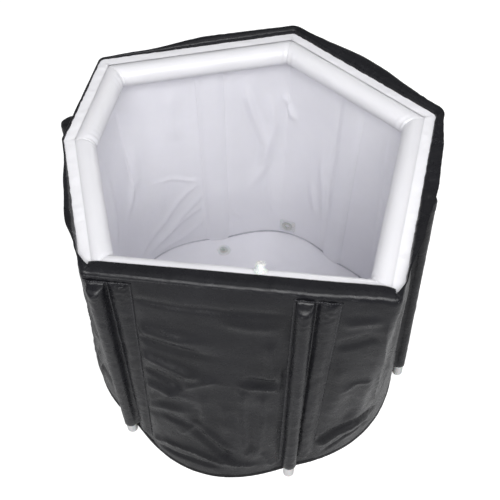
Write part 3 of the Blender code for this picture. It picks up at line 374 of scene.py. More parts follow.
def frame_at(origin, x_axis, z_axis):
    """The matrix that puts a piece at a place with its x and z axes along two directions."""
    turn = Matrix((x_axis, z_axis.cross(x_axis).normalized(), z_axis)).transposed().to_4x4()
    return Matrix.Translation(Vector(origin)) @ turn


def lathe(name, profile, material, matrix, sides=64, hard=35.0, reach=None):
    """A turned piece from (radius, height) pairs; reach(angle, radius) may change the radius round it."""
    rows = []
    for angle, c, s in circle(sides):
        row = [(reach(angle, r) if reach else r, h) for r, h in profile]
        rows.append([(r * c, r * s, h) for r, h in row])
    item = grid_mesh(name, placed(np.array(rows), matrix), material, around=False, across=True)
    weld(item)
    item.data.set_sharp_from_angle(angle=math.radians(hard))
    return item


def weld(item):
    """Joins the points of a mesh that lie on one place."""
    work = bmesh.new()
    work.from_mesh(item.data)
    bmesh.ops.remove_doubles(work, verts=work.verts, dist=WELD_DISTANCE)
    bmesh.ops.recalc_face_normals(work, faces=work.faces)
    work.to_mesh(item.data)
    work.free()


def thicken(item, thickness, offset=-1.0):
    solid = item.modifiers.new("thickness", "SOLIDIFY")
    solid.thickness = thickness
    solid.offset = offset


def rounded(profile, radius, steps=4, closed=False):
    """A profile with its corners rounded; points on the axis stay."""
    result = []
    count = len(profile)
    for index, point in enumerate(profile):
        if not closed and index in (0, count - 1):
            result.append(point)
            continue
        here = Vector(point)
        before = Vector(profile[index - 1])
        after = Vector(profile[(index + 1) % count])
        reach = min(radius, (before - here).length / 2.2, (after - here).length / 2.2)
        start = here + (before - here).normalized() * reach
        end = here + (after - here).normalized() * reach
        for step in range(steps + 1):
            t = step / steps
            mid = start * (1 - t) ** 2 + here * 2 * t * (1 - t) + end * t * t
            result.append((mid.x, mid.y))
    return result


# Materials

def add_node(tree, kind, inputs=(), **fields):
    """A shader node: its inputs take values, or sockets that they are linked from."""
    node = tree.nodes.new("ShaderNode" + kind)
    for field, value in fields.items():
        setattr(node, field, value)
    for key, value in dict(inputs).items():
        set_input(tree, node, key, value)
    return node


def set_input(tree, node, key, value):
    if isinstance(value, bpy.types.NodeSocket):
        tree.links.new(value, node.inputs[key])
    else:
        node.inputs[key].default_value = value


def add_noise(tree, source, scale, detail=3.0, rough=0.55):
    values = {"Vector": source, "Scale": scale, "Detail": detail, "Roughness": rough}
    return add_node(tree, "TexNoise", values).outputs["Fac"]


def ramp(tree, source, low, high):
    node = add_node(tree, "ValToRGB", {"Fac": source})
    for element, place, value in zip(node.color_ramp.elements, RAMP_PLACES, (low, high)):
        element.position = place
        element.color = (*value, 1) if isinstance(value, tuple) else (value, value, value, 1)
    return node.outputs["Color"]


def weave(tree, source, pitch):
    """Crossed threads, from two band textures a quarter turn apart."""
    values = {"Vector": source, "Scale": BANDS_PER_METRE / pitch, "Distortion": 0.0}
    bands = [add_node(tree, "TexWave", values, wave_type="BANDS", bands_direction=direction)
             for direction in "XY"]
    return add_node(tree, "Math", {0: bands[0].outputs["Fac"], 1: bands[1].outputs["Fac"]},
                    operation="MAXIMUM").outputs["Value"]


def surface(name, colours, rough, cloud, fine, values, bumps, pitch=None):
    """A material with clouded colour and roughness; bumps are (noise, strength, distance), chained."""
    material = bpy.data.materials.new(name)
    material.use_nodes = True
    tree = material.node_tree
    shader = tree.nodes["Principled BSDF"]
    texture = add_node(tree, "TexCoord")
    place = texture.outputs["Object"]
    set_input(tree, shader, "Base Color", ramp(tree, add_noise(tree, place, *cloud), *colours))
    set_input(tree, shader, "Roughness", ramp(tree, add_noise(tree, place, *fine), *rough))
    for key, value in values.items():
        set_input(tree, shader, key, value)
    layers = [(add_noise(tree, place, *shape), strength, distance) for shape, strength, distance in bumps]
    if pitch:
        layers.append((weave(tree, texture.outputs["UV"], pitch), *THREAD_BUMP))
    normal = None
    for height, strength, distance in layers:
        node = add_node(tree, "Bump", {"Strength": strength, "Distance": distance, "Height": height})
        if normal is not None:
            set_input(tree, node, "Normal", normal)
        normal = node.outputs["Normal"]
    set_input(tree, shader, "Normal", normal)
    return material


def cloth_material(name, low, high, rough, sheen, pitch=0.0009, wrinkle=0.5):
    return surface(name, (low, high), (rough - 0.05, rough + 0.08), (9.0, 4.0), (42.0, 3.0),
                   {"Specular IOR Level": 0.24, "Sheen Weight": sheen, "Sheen Roughness": 0.45,
                    "Sheen Tint": (0.75, 0.76, 0.85, 1)},
                   [((26.0, 5.0, 0.6), wrinkle, 0.004), ((95.0, 3.0, 0.5), wrinkle * 0.5, 0.0009)], pitch)


def vinyl_material(name, low, high, rough, subsurface, wrinkle, scale=18.0):
    return surface(name, (low, high), (rough - 0.05, rough + 0.07), (6.0, 4.0), (60.0, 3.0),
                   {"Specular IOR Level": 0.45, "Subsurface Weight": subsurface,
                    "Subsurface Radius": (0.9, 0.9, 1.0), "Subsurface Scale": 0.004},
                   [((scale, 5.0, 0.6), wrinkle, 0.003), ((900.0, 2.0, 0.5), 0.12, 0.0001)])


def plastic_material(name, colour, rough, transmission=0.0, subsurface=0.1, ior=1.5):
    low = tuple(c * 0.94 for c in colour)
    return surface(name, (low, colour), (rough - 0.06, rough + 0.08), (40.0, 3.0), (300.0, 3.0),
                   {"IOR": ior, "Transmission Weight": transmission, "Subsurface Weight": subsurface,
                    "Subsurface Scale": 0.002}, [((700.0, 2.0), 0.15, 0.0001)])


NYLON = cloth_material("nylon_look", (0.006, 0.006, 0.0075), (0.011, 0.011, 0.0135), 0.27, 0.01, wrinkle=0.35)
SLEEVE_NYLON = cloth_material("sleeve_look", (0.0055, 0.0055, 0.007), (0.01, 0.01, 0.0125), 0.27, 0.01)
BINDING = cloth_material("binding_look", (0.004, 0.004, 0.005), (0.006, 0.006, 0.0075), 0.45, 0.02, 0.0012)
LINER = vinyl_material("liner_look", (0.82, 0.815, 0.86), (0.86, 0.855, 0.895), 0.44, 0.12, 0.35)
RING = vinyl_material("ring_look", (0.73, 0.725, 0.75), (0.76, 0.755, 0.78), 0.34, 0.15, 0.25, scale=24.0)
FLANGE = vinyl_material("flange_look", (0.80, 0.795, 0.82), (0.84, 0.835, 0.86), 0.40, 0.12, 0.45, scale=40.0)
ROD_WHITE = plastic_material("rod_look", (0.84, 0.84, 0.845), 0.36)
FITTING = plastic_material("fitting_look", (0.66, 0.67, 0.645), 0.30, 0.25, 0.2)
CLEAR = plastic_material("clear_look", (0.86, 0.87, 0.86), 0.26, 0.22, 0.2, 1.46)
PATCH = plastic_material("patch_look", (0.80, 0.81, 0.82), 0.30, 0.10, 0.2, 1.46)
# Painted shade: dark grey, clouded towards the liner's white, stands for the shadowed crease along the floor
# weld
WELD_SHADE = vinyl_material("weld_shade_look", (0.30, 0.30, 0.34), (0.78, 0.775, 0.82), 0.5, 0.05, 0.3, scale=30.0)
RUBBER = plastic_material("rubber_look", (0.02, 0.02, 0.021), 0.70, 0.0, 0.0)
FOAM = plastic_material("foam_look", (0.74, 0.76, 0.79), 0.85)
THREAD = plastic_material("thread_look", (0.10, 0.10, 0.11), 0.60, 0.0, 0.0)


def hard_piece(item, body, slot, *nodes):
    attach(item, body)
    if nodes:
        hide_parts(*nodes)


def cloth_piece(item, slot, flat, held, rests, *nodes, area=None):
    hard_piece(item, "tub", slot, *nodes)


# Cover

# Folds seen in the photograph, in mm: width, height, sharp, share of the line over which it fades, then the
# line's points as length round the wall and height
FRONT_FOLDS = (
    (20, 4.5, 0, 0.35, 1470, 606, 1520, 580, 1600, 562, 1680, 560),
    (12, -3.5, 0, 0.35, 1480, 560, 1555, 532, 1620, 520, 1690, 518),
    (17, 5.5, 0, 0.2, 1473, 500, 1548, 468, 1634, 436, 1665, 428),
    (10, -4, 0, 0.25, 1520, 412, 1569, 403, 1625, 376),
    (16, 4, 0, 0.3, 1478, 350, 1541, 350, 1600, 345, 1640, 338),
    (7, 3.2, 1, 0.15, 1478, 186, 1534, 277, 1634, 392, 1685, 428, 1715, 415),
    (12, -4, 0, 0.2, 1480, 160, 1562, 228, 1641, 226),
    (16, 4, 0, 0.3, 1500, 220, 1570, 270, 1634, 285),
    (8, -4, 0, 0.25, 1650, 310, 1650, 236),
    (5, 3, 1, 0.2, 1641, 226, 1610, 172),
    (10, -5, 0, 0.15, 1641, 222, 1693, 150, 1730, 100),
    (7, 3, 0, 0.25, 1660, 235, 1708, 170, 1735, 130),
    (8, 4.5, 1, 0.15, 1513, 55, 1576, 100, 1640, 110, 1700, 83, 1760, 70),
    (9, -3.5, 0, 0.2, 1540, 40, 1634, 62, 1710, 52),
    (6, 4.2, 1, 0.12, 1735, 421, 1752, 384, 1746, 330, 1752, 247, 1759, 148, 1773, 85),
    (6, 4, 1, 0.12, 1795, 390, 1795, 259, 1788, 166, 1786, 85),
    (10, -3, 0, 0.2, 1773, 360, 1772, 250, 1774, 120),
    (6, 3, 1, 0.15, 1737, 428, 1766, 410, 1826, 404),
    (12, -3, 0, 0.2, 1750, 445, 1790, 430, 1826, 430),
    (5, 2.8, 1, 0.25, 1826, 502, 1820, 380),
    (8, 3.8, 0, 0.2, 1803, 590, 1803, 510, 1808, 425),
    (8, 2.2, 0, 0.3, 1663, 377, 1663, 259),
    (9, 2.2, 0, 0.3, 1712, 350, 1716, 215),
    (16, 2.2, 0, 0.3, 1690, 640, 1760, 628, 1830, 634),
    (9, -2.2, 0, 0.15, 1480, 684, 1600, 672, 1720, 672, 1836, 676),
    (7, 3.5, 1, 0.2, 1700, 110, 1745, 72, 1790, 56),
    (6, 3, 1, 0.2, 1800, 120, 1818, 60, 1835, 35),
    (14, 3, 0, 0.3, 1930, 650, 1960, 668, 2010, 682),
    (14, -5, 0, 0.2, 1930, 572, 1965, 592, 2005, 622),
    (22, 3.5, 0, 0.25, 1932, 530, 1955, 400, 1950, 230),
    (5, 2.4, 1, 0.2, 1965, 373, 1991, 410, 2030, 405),
    (16, -3, 0, 0.3, 1985, 360, 2000, 260, 1990, 190),
    (7, 4.5, 1, 0.1, 2012, 690, 2022, 572, 2040, 430, 2070, 260, 2085, 190),
    (8, -5.5, 0, 0.12, 1925, 108, 1971, 166, 2019, 186, 2070, 160, 2119, 107),
    (9, 4, 1, 0.15, 1935, 85, 1985, 140, 2035, 155, 2090, 120),
    (7, -3, 0, 0.2, 1952, 41, 2010, 100, 2060, 95, 2100, 55),
    (10, 3.5, 0, 0.2, 2130, 640, 2135, 450, 2140, 300, 2150, 160),
    (12, -3, 0, 0.25, 2190, 600, 2180, 400, 2175, 220),
    (7, 2.5, 1, 0.25, 2230, 560, 2225, 360),
)


def folds_of(table):
    """Rows of a fold table in metres: its line's points, width, height, sharpness and fade."""
    for width, size, sharp, fade, *line in table:
        metres = [value / 1000 for value in line]
        yield list(zip(metres[::2], metres[1::2])), width / 1000, size / 1000, sharp, fade


def ambient_folds():
    """Folds on the panels that the photograph doesn't show: a few slack ridges off each sleeve."""
    maker = random.Random(21)
    folds = []
    for rod in (5, 0, 1, 2):
        start = HEAD_AROUND[rod] + 0.085
        end = HEAD_AROUND[(rod + 1) % 6] - 0.045
        if end < start:
            end += WHOLE
        span = end - start
        for number in range(9):
            left = number % 2 == 0
            edge = start if left else end
            step = 1 if left else -1
            high = 0.10 + 0.55 * maker.random()
            run = span * (0.25 + 0.4 * maker.random())
            drop = (maker.random() - 0.6) * 0.16
            bend = (maker.random() - 0.5) * 0.03
            line = ((edge, high), (edge + step * run * 0.5, high + drop * 0.4 + bend),
                    (edge + step * run, max(high + drop, 0.05)))
            size = (0.0025 + 0.003 * maker.random()) * (1 if number % 3 else -1)
            folds.append((line, 0.007 + 0.014 * maker.random(), size, number % 4 == 1, 0.3))
        foot = start + span * (0.3 + 0.3 * maker.random())
        for lean in (-0.05, 0.0, 0.05):
            folds.append((((foot + lean * 0.4, 0.03), (foot + lean, 0.22 + 0.1 * maker.random())),
                          0.007, 0.0035, True, 0.3))
    return folds


def beside_sleeves(around, low, high):
    """0 on a sleeve's panel, rising to 1 away from it."""
    ease = np.ones(around.shape)
    for head in HEAD_AROUND:
        for turn in (-WHOLE, 0, WHOLE):
            away = np.maximum(head + turn - POCKET / 2 - around, around - head - turn - 1.5 * POCKET)
            ease = np.minimum(ease, np.clip((away - low) / (high - low), 0, 1))
    return ease * ease * (3 - 2 * ease)


def build_cover():
    heights = np.concatenate([np.linspace(0.0042, 0.05, 14), np.linspace(0.05, RIM, 132)[1:]])
    around, height = np.meshgrid(AROUND, heights)
    offset = np.zeros(around.shape)
    for line, width, size, sharp, taper in (*folds_of(FRONT_FOLDS), *ambient_folds()):
        shift = WHOLE if line[0][0] > WHOLE * 0.8 or line[-1][0] > WHOLE else 0
        for turn in {0, shift}:
            moved = [(x - turn, y) for x, y in line]
            offset += crease(around, height, moved, width, COVER_FOLD_GAIN * size, sharp, taper)
    offset += 0.0022 * fuzz_grid(heights, 0.16, 3.0, 0.7)
    offset += 0.0010 * fuzz_grid(heights, 0.05, 8.0, 0.8)
    offset += 0.0030
    near_rim = np.clip((RIM - height) / 0.030, 0, 1)
    near_foot = np.clip((height - 0.012) / 0.040, 0, 1)
    offset *= beside_sleeves(around, 0.002, 0.022) * near_rim * (0.25 + 0.75 * near_foot)
    gathers = 0.0016 * fuzz_grid(heights, 0.011, 31.0, 5.0, 1)
    offset = np.maximum(offset + gathers * np.exp(-((RIM - height) / 0.018) ** 2), -0.0020)
    item = grid_mesh("cover_skin", wall_points(heights, offset), NYLON, uv=uv_grid(AROUND, heights))
    cloth_piece(item, "coated_nylon", (2.62, 0.745), "stretched", ["foam_wall"], "cover_wall")


def polar_sheet(name, boundary, hole, height, lift, material, rings=40, flip=False):
    """A flat sheet from the floor drain's hole out to a boundary, with a lift for each point."""
    start = DRAIN_CENTRE + unit(boundary - DRAIN_CENTRE) * hole
    rows = []
    for ring in range(rings + 1):
        share = ring / rings
        flat = start + (boundary - start) * share
        rows.append(np.column_stack([flat, [height + lift(x, y, share) for x, y in flat]]))
    grid = np.array(rows)
    return grid_mesh(name, grid, material, uv=grid[..., :2].copy(), flip=flip)


def build_base():
    def lift(x, y, share):
        return abs(0.0004 * rough_at(x * 22, y * 22, 2.0)) * min(share * 8, 1) * min((1 - share) * 12, 1)

    item = polar_sheet("base_cloth", level(0.0)[0][::2], 0.0113, 0.0001, lift, NYLON, 30, True)
    thicken(item, 0.0012)
    cloth_piece(item, "coated_nylon", (0.80, 0.80), "stretched", ["foam_base"], "cover_base", area=0.48)


def build_binding():
    """Bound bottom edge: a strip folded round the seam, with a bead in its foot."""
    section = []
    for degrees in range(-150, 60, 15):
        angle = math.radians(degrees)
        section.append((0.0004 + 0.0021 * math.cos(angle), 0.0026 + 0.0021 * math.sin(angle)))
    section += [(0.0016, 0.0058), (0.0015, 0.0085), (0.0014, 0.0115), (0.0010, 0.0130), (0.0002, 0.0133)]
    rise = 0.0010 * np.array([fuzz(a, 0.0, 0.035, 11.0) for a in AROUND])
    rows = []
    for number, (out, high) in enumerate(section):
        points, normals = level(high)
        tuck = 0.0005 * np.array([fuzz(a, high, 0.010, 5.0, 3.0) for a in AROUND])
        place = points + normals * (out + tuck * min(number / 6, 1))[:, None]
        rows.append(np.column_stack([place, np.full(COUNT, high) + rise * (number / len(section))]))
    grid = np.array(rows)
    grid[..., 2] = np.maximum(grid[..., 2], 0.0004)
    item = grid_mesh("bottom_binding", grid, BINDING, uv=uv_grid(AROUND, [high for out, high in section]))
    cloth_piece(item, "hem_nylon", (2.56, 0.0205), "stretched", ["cover_skin"], "base_piping")


# Azimuth, lean (outward above 0, over the ring below) and rise of the hem
HEM_SHARES = np.array((
    (0, 0.75, 0.55), (15, 0.45, 0.6), (45, 0.95, 0.7), (74, 0.35, 0.8), (104, 0.45, 0.8),
    (128, 0.1, 0.35), (140, 0.02, 0.2), (180, 0.05, 0.2), (195, 0.3, 0.45), (208, 0.45, 0.75),
    (218, 0.1, 1), (229, -0.9, 0.75), (260, -1, 0.6), (290, -1, 0.65), (302, -0.95, 0.95),
    (311, 0.05, 1), (325, 0.55, 0.8), (345, 0.85, 0.6), (360, 0.75, 0.55)))


# Gathers of the hem: azimuth, spread in degrees, share
PUCKERS = ((286, 13, 0.9), (20, 14, 0.8), (345, 12, 0.5), (305, 6, 0.7), (224, 7, 0.7), (80, 10, 0.3),
           (102, 8, 0.3))


def hem_shares(azimuth):
    row = min(max(np.searchsorted(HEM_SHARES[:, 0], azimuth, "right") - 1, 0), len(HEM_SHARES) - 2)
    share = (azimuth - HEM_SHARES[row, 0]) / (HEM_SHARES[row + 1, 0] - HEM_SHARES[row, 0])
    ease = share * share * (3 - 2 * share)
    return HEM_SHARES[row, 1:] * (1 - ease) + HEM_SHARES[row + 1, 1:] * ease


def pucker_share(azimuth):
    """How gathered the hem is round the rim."""
    total = 0.35
    for centre, width, size in PUCKERS:
        away = (azimuth - centre + 180) % 360 - 180
        total += size * math.exp(-(away / width) ** 2)
    return min(total, 1.3)


def on_ring(away):
    """Height of the ring's top at a distance from its centre line."""
    return RING_Z + math.sqrt(max(RING_R ** 2 - away ** 2, 0))


def build_hem():
    """The cover's doubled top edge: out at the back, over the ring in front, gathered by its stitches."""
    columns = []
    for index in range(COUNT):
        lean, rise = hem_shares(TOP_AZ[index])
        tight = pucker_share(TOP_AZ[index])
        swell, sink, poke = (0.0022, 0.0022, -0.0010) if lean < -0.3 else (0, 0, 0)
        start = max(0.0016 * fuzz(AROUND[index], RIM, 0.011, 31.0, 5.0), -0.0004)
        outer = []
        inner = []
        for step in range(EDGE_STEPS + 1):
            share = step / EDGE_STEPS
            angle = math.pi / 2 * share
            out = start * (1 - share) + lean * HEM_LEAN * (1 - math.cos(angle)) ** 1.15
            high = RIM - 0.0004 + (rise * 0.015 + 0.0024) * math.sin(angle) ** 0.8
            if out < -0.004:
                high = max(high, on_ring(RING_DEPTH + out) + HEM_DOUBLE)
            wave = 0.0022 * fuzz(AROUND[index], share * 0.01, 0.012, 17.0, 2.0)
            wave += 0.0016 * fuzz(AROUND[index], share * 0.01, 0.030, 4.0, 2.0)
            wave *= tight * math.sin(math.pi * share * 0.8)
            out += wave * (1 - 0.5 * abs(lean))
            high += wave * abs(lean)
            outer.append((out, high + swell * math.exp(-((share - 0.55) / 0.28) ** 2)))
            inner.append((out - HEM_DOUBLE, high - sink))
        tip = ((outer[-1][0] + inner[-1][0]) / 2 + poke,
               max(outer[-1][1], inner[-1][1]) + (0 if abs(lean) > 0.5 else 0.0010))
        line = outer + [tip] + inner[::-1]
        columns.append([[*(TOP[index] + RIM_OUT[index] * out), high] for out, high in line])
    grid = np.array(columns).transpose(1, 0, 2)
    item = grid_mesh("top_hem_band", grid, NYLON, uv=uv_grid(AROUND, np.linspace(RIM, RIM + 0.07, len(grid))))
    cloth_piece(item, "hem_nylon", (2.62, 0.072), "folded", ["cover_skin"], "top_hem")


# Sleeves

def wall_frame(rod, height):
    """Plan point, outward normal and tangent of the wall at a rod."""
    here = on_wall(HEAD_AROUND[rod], height, 0.0)
    out = on_wall(HEAD_AROUND[rod], height, 1.0) - here
    out = out[:2] / np.linalg.norm(out[:2])
    return here[:2], out, np.array([-out[1], out[0]])


def rod_line(rod):
    low, low_out, _ = wall_frame(rod, 0.0)
    high, high_out, _ = wall_frame(rod, ROD_HIGH)
    foot = np.array([*(low + low_out * ROD_OFF), 0.0])
    head = np.array([*(high + high_out * ROD_OFF), ROD_HIGH])
    return foot, (head - foot) / np.linalg.norm(head - foot)


def sleeve_section(spread, loose):
    """Half-round pocket over the rod and a flatter spare one: (along, off, over the rod) triples."""
    line = [(-0.0235, 0.0010, False), (-0.0215, 0.0014, False), (-0.0190, 0.0018, False)]
    for degrees in range(196, -17, -12):
        angle = math.radians(degrees)
        squash = 1.0 + loose * 0.10 * abs(math.cos(angle)) ** 3
        line.append((POCKET_R * math.cos(angle) * squash, ROD_OFF + POCKET_R * math.sin(angle), True))
    line += [(0.0182, 0.0022, False), (POCKET_SEAM, 0.0014, False), (0.0218, 0.0020, False)]
    for step in range(1, 14):
        t = step / 14
        bow = math.sin(math.pi * t) ** 0.8 * (1.0 - 0.25 * t)
        line.append((0.0218 + 0.0355 * t, 0.0020 + 0.0085 * spread * bow, False))
    return line + [(0.0580, 0.0018, False), (0.0605, 0.0014, False), (0.0635, 0.0010, False)]


def build_sleeve(rod):
    """Two pockets on one panel, closed and rounded at the top, with the rod in the first."""
    foot, axis = rod_line(rod)
    rows = []
    seed = 20.0 + rod * 7.3
    for height in SLEEVE_HEIGHTS:
        _, out, side = wall_frame(rod, height)
        dome = min(max((SLEEVE_HIGH - height) / 0.016, 0.0), 1.0)
        scale = math.sqrt(1 - (1 - dome) ** 2) * 0.97 + 0.03
        spread = 0.75 + 0.35 * (height / RIM) + 0.25 * rough_at(height * 9, seed, 0)
        line = sleeve_section(spread, 0.5 + rough_at(height * 14, seed, 5))
        slide = 0.0025 * rough_at(height * 7, seed, 9)
        widen = 0.0035 * max(height / RIM - 0.5, 0)
        row = []
        for number, (along, off, over) in enumerate(line):
            off = 0.0012 + (off - 0.0012) * scale
            crumple = 0.0009 * rough_at(along * 60, height * 45, seed)
            crumple += 0.0007 * rough_at(along * 140, height * 16, seed + 3)
            crumple += 0.0022 * rough_at(along * 110, height * 90, seed + 6) * (height / RIM) ** 10
            if over:
                centre = foot + axis * (height / axis[2])
                flat = centre[:2] + side * along + out * (off - ROD_OFF + max(crumple, -0.0002))
                row.append([*flat, height])
            else:
                edge = min(number, len(line) - 1 - number) < 3
                shift = slide if along > 0.025 and not edge else 0.0
                grow = widen if along > 0.03 else 0.0
                high = max(off if edge else off + crumple, 0.0009)
                row.append([*on_wall(HEAD_AROUND[rod] + along + shift + grow, height, high)])
        rows.append(row)
    grid = np.array(rows)
    uv = uv_grid(np.linspace(0, 0.12, grid.shape[1]), SLEEVE_HEIGHTS)
    item = grid_mesh(f"sleeve_panel_{rod + 1}", grid, SLEEVE_NYLON, around=False, uv=uv)
    thicken(item, 0.0009)
    cloth_piece(item, "coated_nylon", (0.130, 0.66), "stretched", [f"rod_{rod + 1}", "cover_skin"],
                f"sleeve_{rod + 1}")
    return grid


def stitch_mesh(name, lines):
    """Dashes of thread along lines of (point, outward) pairs."""
    vertices = []
    faces = []
    for line in lines:
        points, outs = (np.array(part) for part in zip(*line))
        runs = np.concatenate([[0], np.cumsum(np.linalg.norm(points[1:] - points[:-1], axis=1))])
        place = STITCH_GAP
        while place + STITCH_LENGTH < runs[-1]:
            start, end = (np.array([np.interp(at, runs, points[:, k]) for k in range(3)])
                          for at in (place, place + STITCH_LENGTH))
            out = unit(np.array([np.interp(place, runs, outs[:, k]) for k in range(3)]))
            side = np.cross(out, unit(end - start))
            first = len(vertices)
            for share, size in ((0.0, 0.35), (0.25, 1.0), (0.75, 1.0), (1.0, 0.35)):
                for _, c, s in circle(6):
                    vertices.append(start + (end - start) * share + side * STITCH_WIDTH * size / 2 * c
                                    + out * (STITCH_HEIGHT * size * (0.5 + s / 2)))
            for ring in range(3):
                for turn in range(6):
                    a = first + ring * 6 + turn
                    b = first + ring * 6 + (turn + 1) % 6
                    faces.append((a, b, b + 6, a + 6))
            faces.append(tuple(range(first + 5, first - 1, -1)))
            faces.append(tuple(range(first + 18, first + 24)))
            place += STITCH_LENGTH + STITCH_GAP
    mesh = bpy.data.meshes.new(name)
    mesh.from_pydata([tuple(v) for v in vertices], [], faces)
    mesh.update()
    hard_piece(link(name, mesh, THREAD), "tub", "hem_nylon")


def sleeve_stitches(rod, grid):
    """Rows of thread down the panel's edges and between its pockets, and over the closed top."""
    last = grid.shape[1] - 1
    between = [along for along, off, over in sleeve_section(0, 1)].index(POCKET_SEAM)
    outs = [np.array([*wall_frame(rod, height)[1], 0.0]) for height in SLEEVE_HEIGHTS]
    rows = [row for row, height in enumerate(SLEEVE_HEIGHTS) if 0.06 < height < 0.724]
    lines = [[(grid[row, column], outs[row]) for row in rows] for column in (1, between, last - 1)]
    row = int(np.searchsorted(SLEEVE_HEIGHTS, 0.7280))
    lines.append([(grid[row, column], outs[row] + np.array([0, 0, 0.2])) for column in range(1, last)])
    stitch_mesh(f"sleeve_stitches_{rod + 1}", lines)


# Rods

def build_rod(rod):
    body = f"rod_{rod + 1}"
    foot, axis = rod_line(rod)
    lift = ROD_R * math.tan(math.acos(axis[2]))
    z_axis = Vector(axis).normalized()
    matrix = frame_at(foot + axis * lift, Vector((0, 1, 0)).cross(z_axis).normalized(), z_axis)
    length = ROD_HIGH / axis[2] - lift
    low = PLUG_RIM + 0.0003
    pipe = [(ROD_R, length - low), (ROD_R, low), (0.0105, low), (0.0105, length - low)]
    item = lathe(f"rod_pipe_{rod + 1}", rounded(pipe, 0.0006, 2, True), ROD_WHITE, matrix, 48)
    hard_piece(item, body, "rod_pvc", f"rod_{rod + 1}")
    plug = [(0, 0.019), (0.0102, 0.019), (0.0102, PLUG_RIM), (ROD_R, PLUG_RIM), (ROD_R - 0.0003, 0.0022),
            (ROD_R - 0.0022, 0.0003), (0, 0.0001)]
    for place, turn, node in ((0.0, 0.0, "rod_foot"), (length, math.pi, "rod_head")):
        at = matrix @ Matrix.Translation((0, 0, place)) @ Matrix.Rotation(turn, 4, "X")
        piece = lathe(f"{node}_plug_{rod + 1}", rounded(plug, 0.0014, 4), ROD_WHITE, at, 48)
        hard_piece(piece, body, "rod_pvc", f"{node}_{rod + 1}")


# Liner

# The same columns as the cover's folds
LINER_FOLDS = (
    (6, 3.6, 1, 0.2, 626, 265, 668, 260, 716, 212, 770, 144, 880, 56),
    (7, 3.8, 1, 0.2, 626, 241, 690, 168, 759, 95, 849, 37),
    (6, 3, 1, 0.2, 631, 187, 674, 153, 738, 105, 812, 61),
    (5, 2.4, 1, 0.25, 626, 270, 679, 284, 733, 308, 791, 304),
    (5, 2.2, 1, 0.3, 626, 275, 642, 308, 652, 357),
    (7, 3.2, 1, 0.2, 626, 207, 652, 105, 711, 52, 828, 15),
    (12, 4.2, 0, 0.2, 527, 609, 505, 512, 469, 386, 479, 289),
    (16, 4.4, 0, 0.2, 463, 585, 447, 459, 469, 299, 511, 202),
    (10, 3.4, 0, 0.3, 426, 560, 383, 468),
    (5, 2.8, 1, 0.3, 247, 483, 252, 391),
    (12, 3.6, 0, 0.25, 289, 405, 266, 236, 238, 76),
    (10, 2.8, 0, 0.3, 318, 294, 294, 149),
    (8, 3, 1, 0.25, 469, 289, 447, 149, 421, 52),
    (18, 4, 0, 0.25, 823, 478, 828, 352, 902, 245),
    (16, 3.6, 0, 0.25, 960, 493, 963, 352, 984, 216),
    (8, 3, 0, 0.2, 112, 620, 85, 376, 70, 100),
    (5, 2, 1, 0.3, 527, 71, 550, 110, 573, 134),
    (20, 3.4, 0, 0.3, 700, 640, 712, 540, 705, 430),
    (14, 3, 0, 0.3, 2440, 600, 2460, 340, 2420, 100),
    (16, 3, 0, 0.3, 1200, 600, 1240, 300, 1200, 80),
    (16, 3, 0, 0.3, 1700, 560, 1640, 300, 1660, 80),
)


# The same columns, with the line's points as x and y
FLOOR_FOLDS = (
    (6, 1.6, 0, 0.3, -60, 300, -52, 270),
    (50, 3, 0, 0.3, -300, 100, -50, 220, 180, 160),
    (18, 3, 0, 0.3, 100, 300, 260, 160, 300, 0),
    (10, 2.2, 0, 0.3, 20, 240, 160, 200, 270, 50),
    (14, 2.5, 0, 0.3, -280, 200, -160, 280),
    (20, 2.5, 0, 0.3, -100, -280, 100, -100),
    (16, 2, 0, 0.3, 200, -240, 50, 20),
    (20, 2.5, 0, 0.3, -260, -120, -50, -20))


# Half of a strip's section: (distance from its middle, height)
STRIP_HALF = ((0.0340, -0.0012), (0.0330, -0.0002), (0.0318, 0.0004), (0.0300, 0.0007), (0.0290, 0.0009),
              (0.0275, 0.0018), (0.018, 0.0040), (0.009, 0.0046))


def build_liner():
    heights = np.linspace(FLOOR_Z + 0.0004, LINER_TOP, 110)
    around, height = np.meshgrid(AROUND, heights)
    slack = 0.0034 * fuzz_grid(heights, 0.16, 40.0, 2.2) + 0.0018 * fuzz_grid(heights, 0.05, 44.0, 3.0)
    folds = np.zeros(around.shape)
    for line, width, size, sharp, taper in folds_of(LINER_FOLDS):
        folds += crease(around, height, line, width, LINER_FOLD_GAIN * size, sharp, taper)
    ease = np.clip((LINER_TOP - height) / 0.05, 0, 1) * np.clip((height - 0.01) / 0.03, 0, 1)
    ease = ease * (0.3 + 0.7 * beside_sleeves(around, 0.0, 0.012))
    offset = -LINER_FACE - np.maximum(slack + folds + 0.0012, -0.0006) * ease
    uv = uv_grid(AROUND, heights)
    item = grid_mesh("liner_skin", wall_points(heights, offset), LINER, uv=uv, flip=True)
    cloth_piece(item, "liner_pvc", (2.56, 0.73), "stretched", ["foam_wall"], "liner_wall")


def build_strip(rod):
    """A band welded inside the liner, with pressed edges."""
    heights = np.linspace(FLOOR_Z + 0.0008, 0.689, 70)
    section = [(-width, lift) for width, lift in STRIP_HALF] + [(0.0, 0.0048)] + list(STRIP_HALF[::-1])
    rows = []
    for height in heights:
        row = []
        for width, lift in section:
            puff = 0.0006 * rough_at(width * 40, height * 16, 60 + rod)
            place = HEAD_AROUND[rod] + POCKET / 2 + width
            row.append(on_wall(place, height, -(LINER_FACE + 0.0017 + lift + puff)))
        rows.append(row)
    uv = uv_grid([width for width, lift in section], heights)
    item = grid_mesh(f"liner_band_{rod + 1}", np.array(rows), LINER, around=False, uv=uv, flip=True)
    cloth_piece(item, "liner_pvc", (0.068, 0.675), "stretched", ["liner_skin"], f"liner_strip_{rod + 1}")


